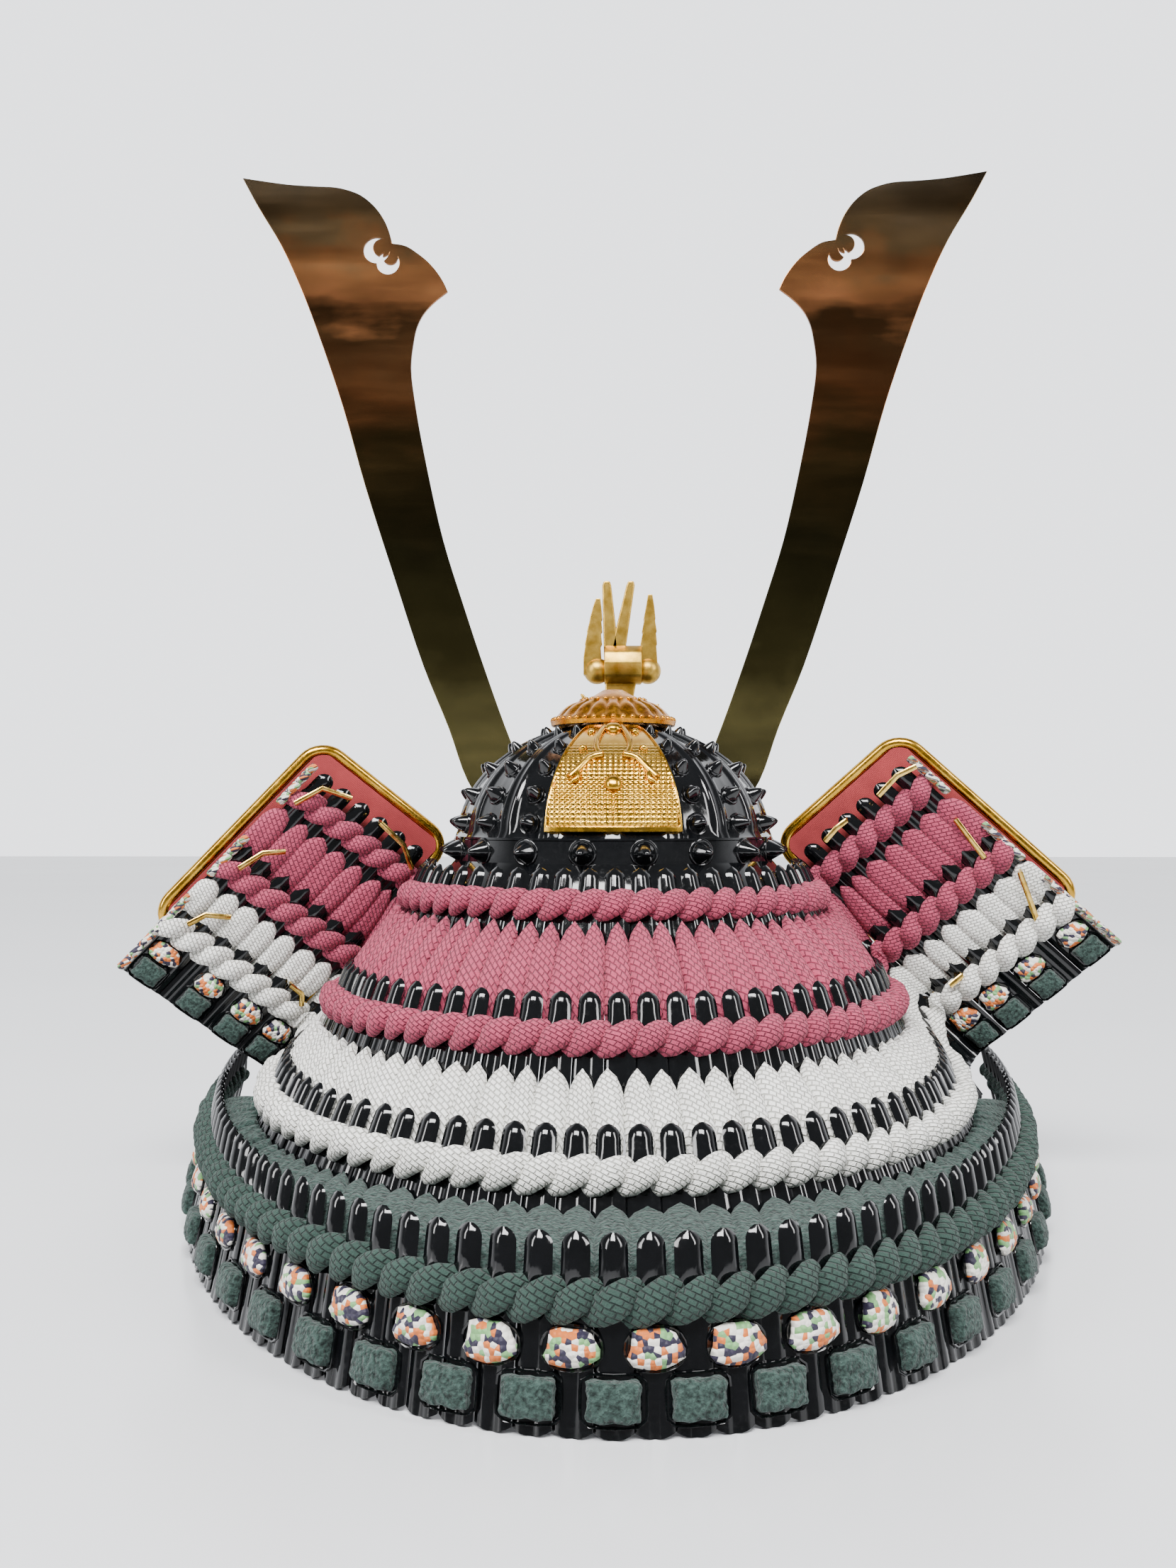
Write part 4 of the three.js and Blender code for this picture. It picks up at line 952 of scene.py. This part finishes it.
# The crest is cast in one and plated satin gold: a stem, a cross bar with a round lobe at each end, two
# long straight prongs and two shorter ones with steps up their sides.
satin_gilt, shader, place = new_material("satin_gold_plate_on_casting")
cast = add_node(satin_gilt, "ShaderNodeTexNoise", [
    ("Vector", place), ("Scale", 1 / (3 * MM)), ("Detail", 4)])
skin = add_node(satin_gilt, "ShaderNodeTexNoise", [
    ("Vector", place), ("Scale", 1 / (0.5 * MM)), ("Detail", 3)])
set_inputs(shader, [
    ("Base Color", add_node(satin_gilt, "ShaderNodeValToRGB", [("Fac", cast)],
                            [(0.3, "#a07c2c"), (0.7, "#cba64e")])),
    ("Roughness", 0.38), ("Metallic", 1.0),
    ("Normal", add_node(satin_gilt, "ShaderNodeBump", [("Height", skin), ("Distance", 0.04 * MM)]))])
crest_low, crest_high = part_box("crest")
crest_y = (crest_low.y + crest_high.y) / 2


def bar(line, widths, depth):
    """A flat-sided bar through points across and up, with its width at each and a bevelled edge."""
    points, faces = [], []
    for (x, z), width in zip(line, widths):
        for dx, dy in ((-1, -1), (1, -1), (1, 1), (-1, 1)):
            points.append([axis.x + x * MM + dx * width * MM / 2, crest_y + dy * depth * MM / 2, z * MM])
    for i in range(len(line) - 1):
        for k in range(4):
            a, b = i * 4 + k, i * 4 + (k + 1) % 4
            faces.append((a, b, b + 4, a + 4))
    faces += [(3, 2, 1, 0), tuple((len(line) - 1) * 4 + k for k in range(4))]
    piece = new_piece("bar", np.array(points), faces)
    recalculate(piece)
    apply_modifier(piece, "BEVEL", width=0.5 * MM, segments=2, limit_method="ANGLE")
    return piece


steps_up = [158, 164, 168, 168.6, 172.6, 173, 177, 177.4, 182]
crest_bars = [
    # two long prongs
    dict(line=[(0.6, 162), (0.8, 168), (2.2, 189), (2.2, 190.6)], widths=[5, 5, 3.2, 2.2], depth=4),
    dict(line=[(-1.6, 162), (-2, 168), (-6, 189), (-6.2, 190.6)], widths=[5, 5, 3, 2], depth=4),
    # two stepped prongs
    dict(line=list(zip([7, 7.2, 7, 6.8, 6.6, 6.4, 6.1, 5.9, 5.5, 5.2], steps_up + [184.5])),
         widths=[6.6, 6.2, 5.4, 6, 4.8, 5.4, 4, 4.4, 2.8, 1.6], depth=4.6),
    dict(line=list(zip([-12.2, -12.2, -12.3, -12.3, -12.5, -12.5, -12.6, -12.6, -12.8, -12.8],
                       steps_up + [185.8])),
         widths=[6.6, 6, 5.2, 5.8, 4.6, 5.2, 3.8, 4.2, 2.8, 1.6], depth=4.6),
    # the stem, and the small tip on each side of it
    dict(line=[(-2, crest_low.z / MM), (-2, 150), (-3, 158)], widths=[9, 10, 11], depth=4),
    dict(line=[(4, 144), (8, 147), (11, 151.6)], widths=[5, 3.6, 1], depth=3),
    dict(line=[(-7, 142), (-12, 144), (-15.6, 148)], widths=[5, 3.6, 1], depth=3),
]
clasp_across, clasp_up = -3.4 * MM, 161.5 * MM
clasp_radius, clasp_length = 7 * MM, 13 * MM
lobe_places = (5.6 * MM, -12 * MM)
lobe_up, lobe_radius = 159.5 * MM, 4.6 * MM
crest_parts = [bar(**row) for row in crest_bars]
deselect_all()
bpy.ops.mesh.primitive_cylinder_add(vertices=10, radius=clasp_radius, depth=clasp_length,
                                    location=(axis.x + clasp_across, crest_y, clasp_up),
                                    rotation=(0, math.pi / 2, 0))
clasp = bpy.context.object
bpy.ops.object.transform_apply(location=True, rotation=True, scale=True)
apply_modifier(clasp, "BEVEL", width=0.6 * MM, segments=2, limit_method="ANGLE")
crest_parts.append(clasp)
for across in lobe_places:
    deselect_all()
    bpy.ops.mesh.primitive_uv_sphere_add(segments=20, ring_count=12, radius=lobe_radius,
                                         location=(axis.x + across, crest_y, lobe_up))
    bpy.ops.object.transform_apply(location=True, rotation=True, scale=True)
    crest_parts.append(bpy.context.object)
for i, part in enumerate(crest_parts):
    part.name = f"crest_part_{i + 1}"
    finish(part, satin_gilt, "gilt_plate", ["crest"] if i == 0 else ())
    smooth(part, 40)

# The two horn blades are flat sheet brass, cut out with a pierced double crescent near the tip and
# polished to a mirror, with faint roll bands. Their colour changes by height and in cloudy patches, and is
# partly brown tarnish and partly painted reflections: pale olive gold near the root, dark bands in the
# middle, and brown and orange-brown higher up.
brass, shader, place = new_material("polished_sheet_brass")
blade_low, blade_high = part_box("horn_blade_left")
blade_root, blade_tip = blade_low.z, blade_high.z
# The mottle's cloudy patches shift the colour by height, and stand for tarnish and painted reflections alike.
mottle = add_node(brass, "ShaderNodeTexNoise", [("Vector", place), ("Scale", 1 / (22 * MM)), ("Detail", 5)])
stretched = add_node(brass, "ShaderNodeMapping", [("Vector", place), ("Scale", (0.2, 1, 1))])
bands = add_node(brass, "ShaderNodeTexNoise", [
    ("Vector", stretched), ("Scale", 1 / (11 * MM)), ("Detail", 4)])
height = add_node(brass, "ShaderNodeSeparateXYZ", [("Vector", place)]).outputs["Z"]
risen = add_node(brass, "ShaderNodeMapRange", [
    ("Value", height), ("From Min", blade_root), ("From Max", blade_tip)])
uneven = add_node(brass, "ShaderNodeMath", [(0, mottle), (1, bands)], operation="ADD")
drift = add_node(brass, "ShaderNodeMath", [(0, uneven), (1, 0.16), (2, -0.16)], operation="MULTIPLY_ADD")
tarnish_and_reflection_place = add_node(brass, "ShaderNodeMath", [(0, risen), (1, drift)], operation="ADD")
# Painted reflections as well as brown tarnish: the colours by height, shifted by the mottle and the bands.
tarnish_and_painted_reflection = add_node(brass, "ShaderNodeValToRGB", [("Fac", tarnish_and_reflection_place)], [
    (0.0, "#35311f"), (0.07, "#8f8554"), (0.16, "#a4985f"), (0.25, "#5f5733"), (0.42, "#39341f"),
    (0.56, "#503f24"), (0.66, "#73492b"), (0.75, "#5c4027"), (0.8, "#a86f46"), (0.86, "#8e5f3a"),
    (0.91, "#5b4830"), (1.0, "#463c2e")])
set_inputs(shader, [
    ("Base Color", tarnish_and_painted_reflection), ("Metallic", 1.0),
    ("Roughness", add_node(brass, "ShaderNodeValToRGB", [("Fac", bands)], [(0.3, 0.12), (0.7, 0.24)])),
    ("Normal", add_node(brass, "ShaderNodeBump", [("Height", bands), ("Distance", 0.05 * MM)]))])

blade_span = blade_high.x - axis.x
blade_runs = [
    [(1, 1), (0.936, 0.994), (0.874, 0.989), (0.807, 0.986), (0.749, 0.984), (0.712, 0.979), (0.679, 0.971),
     (0.645, 0.955), (0.62, 0.936), (0.604, 0.916), (0.594, 0.895)],
    [(0.594, 0.895), (0.558, 0.891), (0.525, 0.879), (0.496, 0.865), (0.471, 0.848), (0.454, 0.832),
     (0.444, 0.819)],
    [(0.444, 0.819), (0.483, 0.801), (0.51, 0.783), (0.526, 0.764), (0.534, 0.744), (0.542, 0.7),
     (0.529, 0.638), (0.497, 0.54), (0.454, 0.431), (0.401, 0.333), (0.338, 0.224), (0.271, 0.118),
     (0.2, 0.022)],
    [(0.32, 0), (0.388, 0.06), (0.438, 0.14), (0.506, 0.236), (0.59, 0.382), (0.665, 0.517), (0.725, 0.639),
     (0.787, 0.745), (0.835, 0.818), (0.894, 0.893), (0.957, 0.954), (1, 1)],
]
crescents = [dict(x=84, z=310.1, outer=4.6, inner=3.2, shift=(-1.9, 0.9)),
             dict(x=79.9, z=305.5, outer=4.05, inner=2.75, shift=(-0.8, 2.2))]


def cut_out(name, outline, thickness):
    """A flat sheet in the blades' plane, from an outline of points across and up."""
    deselect_all()
    middle_y = (blade_low.y + blade_high.y) / 2
    bpy.ops.mesh.primitive_plane_add(size=1 * MM, location=(outline[0][0], middle_y, outline[0][1]))
    piece = bpy.context.object
    piece.name = name
    bpy.ops.object.mode_set(mode="EDIT")
    bpy.ops.mesh.merge(type="CENTER")
    bpy.ops.mesh.select_all(action="SELECT")
    for before, after in zip(outline, outline[1:]):
        bpy.ops.mesh.extrude_vertices_move(
            TRANSFORM_OT_translate={"value": (after[0] - before[0], 0, after[1] - before[1])})
    bpy.ops.mesh.select_all(action="SELECT")
    bpy.ops.mesh.edge_face_add()
    bpy.ops.object.mode_set(mode="OBJECT")
    bpy.ops.object.transform_apply(location=True, rotation=True, scale=True)
    apply_modifier(piece, "SOLIDIFY", thickness=thickness, offset=0)
    recalculate(piece)
    return piece


def crescent_outline(side, crescent):
    """The outline of a round hole less a smaller disc set off to one side."""
    outer, inner = crescent["outer"], crescent["inner"]
    shift = Vector(crescent["shift"])
    apart = shift.length
    opening = math.atan2(shift.y, shift.x)
    half = math.acos((outer ** 2 + apart ** 2 - inner ** 2) / (2 * outer * apart))
    tip = Vector((math.cos(half), math.sin(half))) * outer - Vector((apart, 0))
    half_inner = math.atan2(tip.y, tip.x)
    points = [Vector((math.cos(opening + a), math.sin(opening + a))) * outer
              for a in np.linspace(half, 2 * math.pi - half, 24)]
    points += [shift + Vector((math.cos(opening + a), math.sin(opening + a))) * inner
               for a in np.linspace(2 * math.pi - half_inner, half_inner, 18)[1:-1]]
    return [(axis.x + side * (crescent["x"] + p.x) * MM, (crescent["z"] + p.y) * MM) for p in points]


blade_wall = blade_high.y - blade_low.y
for name, side in (("left", 1), ("right", -1)):
    outline = []
    for run in blade_runs:
        corners = [np.array([axis.x + side * across * blade_span, blade_root + up * (blade_tip - blade_root)])
                   for across, up in run]
        count = 4 * (len(run) - 1)
        ends_at_corner = run is blade_runs[2]
        outline += [tuple(spline(corners, k / count)) for k in range(count + (1 if ends_at_corner else 0))]
    blade = cut_out(f"horn_blade_sheet_{name}", outline, blade_wall)
    for crescent in crescents:
        cutter = cut_out("cutter", crescent_outline(side, crescent), 5 * blade_wall)
        apply_modifier(blade, "BOOLEAN", operation="DIFFERENCE", solver="EXACT", object=cutter)
        bpy.data.objects.remove(cutter)
    apply_modifier(blade, "BEVEL", width=0.15 * MM, segments=2, limit_method="ANGLE",
                   angle_limit=math.radians(60))
    finish(blade, brass, "brass_sheet", [f"horn_blade_{name}"], recalculated=False)
    smooth(blade, 15)

# The crest holder, the peak and the flaps' boards stay as the CAD gives them: a flat gold-plated brass
# fitting, the moulded black brim that it stands on, and flat moulded boards that the linings hide.
for name, material in (("crest_holder", gilt), ("peak", black_abs), ("flap_board_left", black_abs),
                       ("flap_board_right", black_abs)):
    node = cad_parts[name]
    node.data.materials.clear()
    node.data.materials.append(material)

# Each flap has a board in front of its laced plates, faced with red cloth and edged all round with a
# drawn brass tube in bright gold. The cloth is a matt plain weave of coarse thread, about 0.6 mm apart.
red_cloth, shader, place = new_material("red_woven_cloth")
weave = add_node(red_cloth, "ShaderNodeUVMap", uv_map="weave")
threads = add_node(red_cloth, "ShaderNodeTexBrick", [
    ("Vector", weave), ("Scale", 1.0), ("Brick Width", 0.7), ("Row Height", 0.5), ("Mortar Size", 0.08),
    ("Mortar Smooth", 1.0), ("Color1", (0.8, 0.8, 0.8, 1)), ("Color2", (1, 1, 1, 1)),
    ("Mortar", (0.2, 0.2, 0.2, 1))])
uneven = add_node(red_cloth, "ShaderNodeTexNoise", [
    ("Vector", place), ("Scale", 1 / (8 * MM)), ("Detail", 3)])
shade = add_node(red_cloth, "ShaderNodeMix", [(0, 0.5), (2, threads), (3, uneven)], data_type="FLOAT")
set_inputs(shader, [
    ("Base Color", add_node(red_cloth, "ShaderNodeValToRGB", [("Fac", shade)],
                            [(0.2, "#6d1c1f"), (0.8, "#a4383a")])),
    ("Roughness", 0.85),
    ("Normal", add_node(red_cloth, "ShaderNodeBump", [("Height", shade), ("Distance", 0.1 * MM)]))])

board_inner, board_outer, board_above, board_below = 0.04, 1.09, -0.055, 0.75
board_gap = 1.7 * MM
lining_wall = 1 * MM
cad_plate_wall = 1.6 * MM
rim_radius = 1.8 * MM
corner_radius = 5 * MM


def board_outline(grow, turns):
    left, right = board_inner * flap_reach - grow, board_outer * flap_reach + grow
    top, bottom = board_above * flap_stack - grow, board_below * flap_stack + grow
    radius = corner_radius + grow
    corners = [(right - radius, bottom - radius, 0), (left + radius, bottom - radius, 90),
               (left + radius, top + radius, 180), (right - radius, top + radius, 270)]
    outline = []
    for x, y, start in corners:
        for step in range(turns + 1):
            angle = math.radians(start + 90 * step / turns)
            outline.append((x + radius * math.cos(angle), y + radius * math.sin(angle)))
    return outline


def flap_point(name, along, down, forward):
    origin, row, stack, back = flap_frame(name)
    return origin + row * along + stack * down - back * forward


for name in ("left", "right"):
    lining_near = cad_plate_wall + board_gap
    middle = lining_near + lining_wall / 2 + 0.9 * MM
    line = [flap_point(name, x, y, middle) for x, y in board_outline(rim_radius + 0.3 * MM, 8)]
    _, _, _, back = flap_frame(name)
    rim = tube(f"rim_tube_{name}", line, rim_radius, 14, is_loop=True, up=back)
    finish(rim, gilt, "gilt_plate", [f"flap_rim_{name}"])

    width = (board_outer - board_inner) * flap_reach + 0.8 * MM
    length = (board_below - board_above) * flap_stack + 0.8 * MM

    def lining_shape(u, v, name=name, width=width, length=length, near=lining_near):
        along = board_inner * flap_reach - 0.4 * MM + (u + 1) / 2 * width
        down = board_above * flap_stack - 0.4 * MM + v * length
        return Vector(flap_point(name, along, down, near + 0.3 * MM))

    lining = grid_unit(f"red_lining_{name}", 20, 28, lining_shape)
    weave = lining.data.uv_layers.get("weave") or lining.data.uv_layers.new(name="weave")
    for loop in lining.data.loops:
        place = Vector(lining.data.vertices[loop.vertex_index].co)
        origin, row, stack, _ = flap_frame(name)
        offset = np.array(place) - origin
        weave.data[loop.index].uv = (offset @ row / MM, offset @ stack / MM)
    apply_modifier(lining, "SOLIDIFY", thickness=0.5 * MM, offset=0)
    finish(lining, red_cloth, "red_cloth", [f"flap_lining_{name}"])

# Plain pale glazed table and soft studio light: a long overhead panel, one panel to each side, and a room
# that is pale behind the helmet and dark overhead and behind the camera, so that black gloss stays black.
deselect_all()
bpy.ops.mesh.primitive_plane_add(size=6, location=(0, 0, 0))
floor = bpy.context.object
floor.name = "floor"
table, shader, place = new_material("glazed_white_table")
cloudy = add_node(table, "ShaderNodeTexNoise", [("Vector", place), ("Scale", 3.0)])
set_inputs(shader, [
    ("Base Color", add_node(table, "ShaderNodeValToRGB", [("Fac", cloudy)],
                            [(0.3, "#d4d5d8"), (0.7, "#dbdcde")])),
    ("Roughness", 0.22)])
floor.data.materials.append(table)

room_bright, room_dark = 2.9, 0.25
overhead_dark = 0.6  # how much the room darkens upwards, for each part that it darkens towards the camera
world = bpy.data.worlds.new("room")
bpy.context.scene.world = world
world.use_nodes = True
towards = add_node(world, "ShaderNodeTexCoord").outputs["Generated"]
parts = add_node(world, "ShaderNodeSeparateXYZ", [("Vector", towards)])
darkened = add_node(world, "ShaderNodeMath", [
    (0, parts.outputs["Z"]), (1, overhead_dark), (2, parts.outputs["Y"])], operation="MULTIPLY_ADD")
strength = add_node(world, "ShaderNodeMapRange", [
    ("Value", darkened), ("From Min", -0.3), ("From Max", 0.25),
    ("To Min", room_bright), ("To Max", room_dark)])
set_inputs(world.node_tree.nodes["Background"], [("Color", rgb("#eaecf0")), ("Strength", strength)])


def panel(name, place, aim, size, power):
    """A soft rectangular light at a place from the bowl's axis, in metres and watts, turned to its aim."""
    light_data = bpy.data.lights.new(name, "AREA")
    light_data.shape = "RECTANGLE"
    light_data.size, light_data.size_y = size
    light_data.energy = power
    light = bpy.data.objects.new(name, light_data)
    bpy.context.scene.collection.objects.link(light)
    light.location = axis + Vector(place)
    light.rotation_euler = (Vector(aim) - Vector(place)).to_track_quat("-Z", "Y").to_euler()


panel("overhead", (0.1, 0.7, 1.05), (0, 0, 0.08), (0.8, 0.35), 34)
panel("from_left", (0.9, 0.6, 0.6), (0, 0, 0.1), (0.2, 0.8), 9)
panel("from_right", (-0.9, 0.5, 0.7), (0, 0, 0.1), (0.2, 0.8), 9)
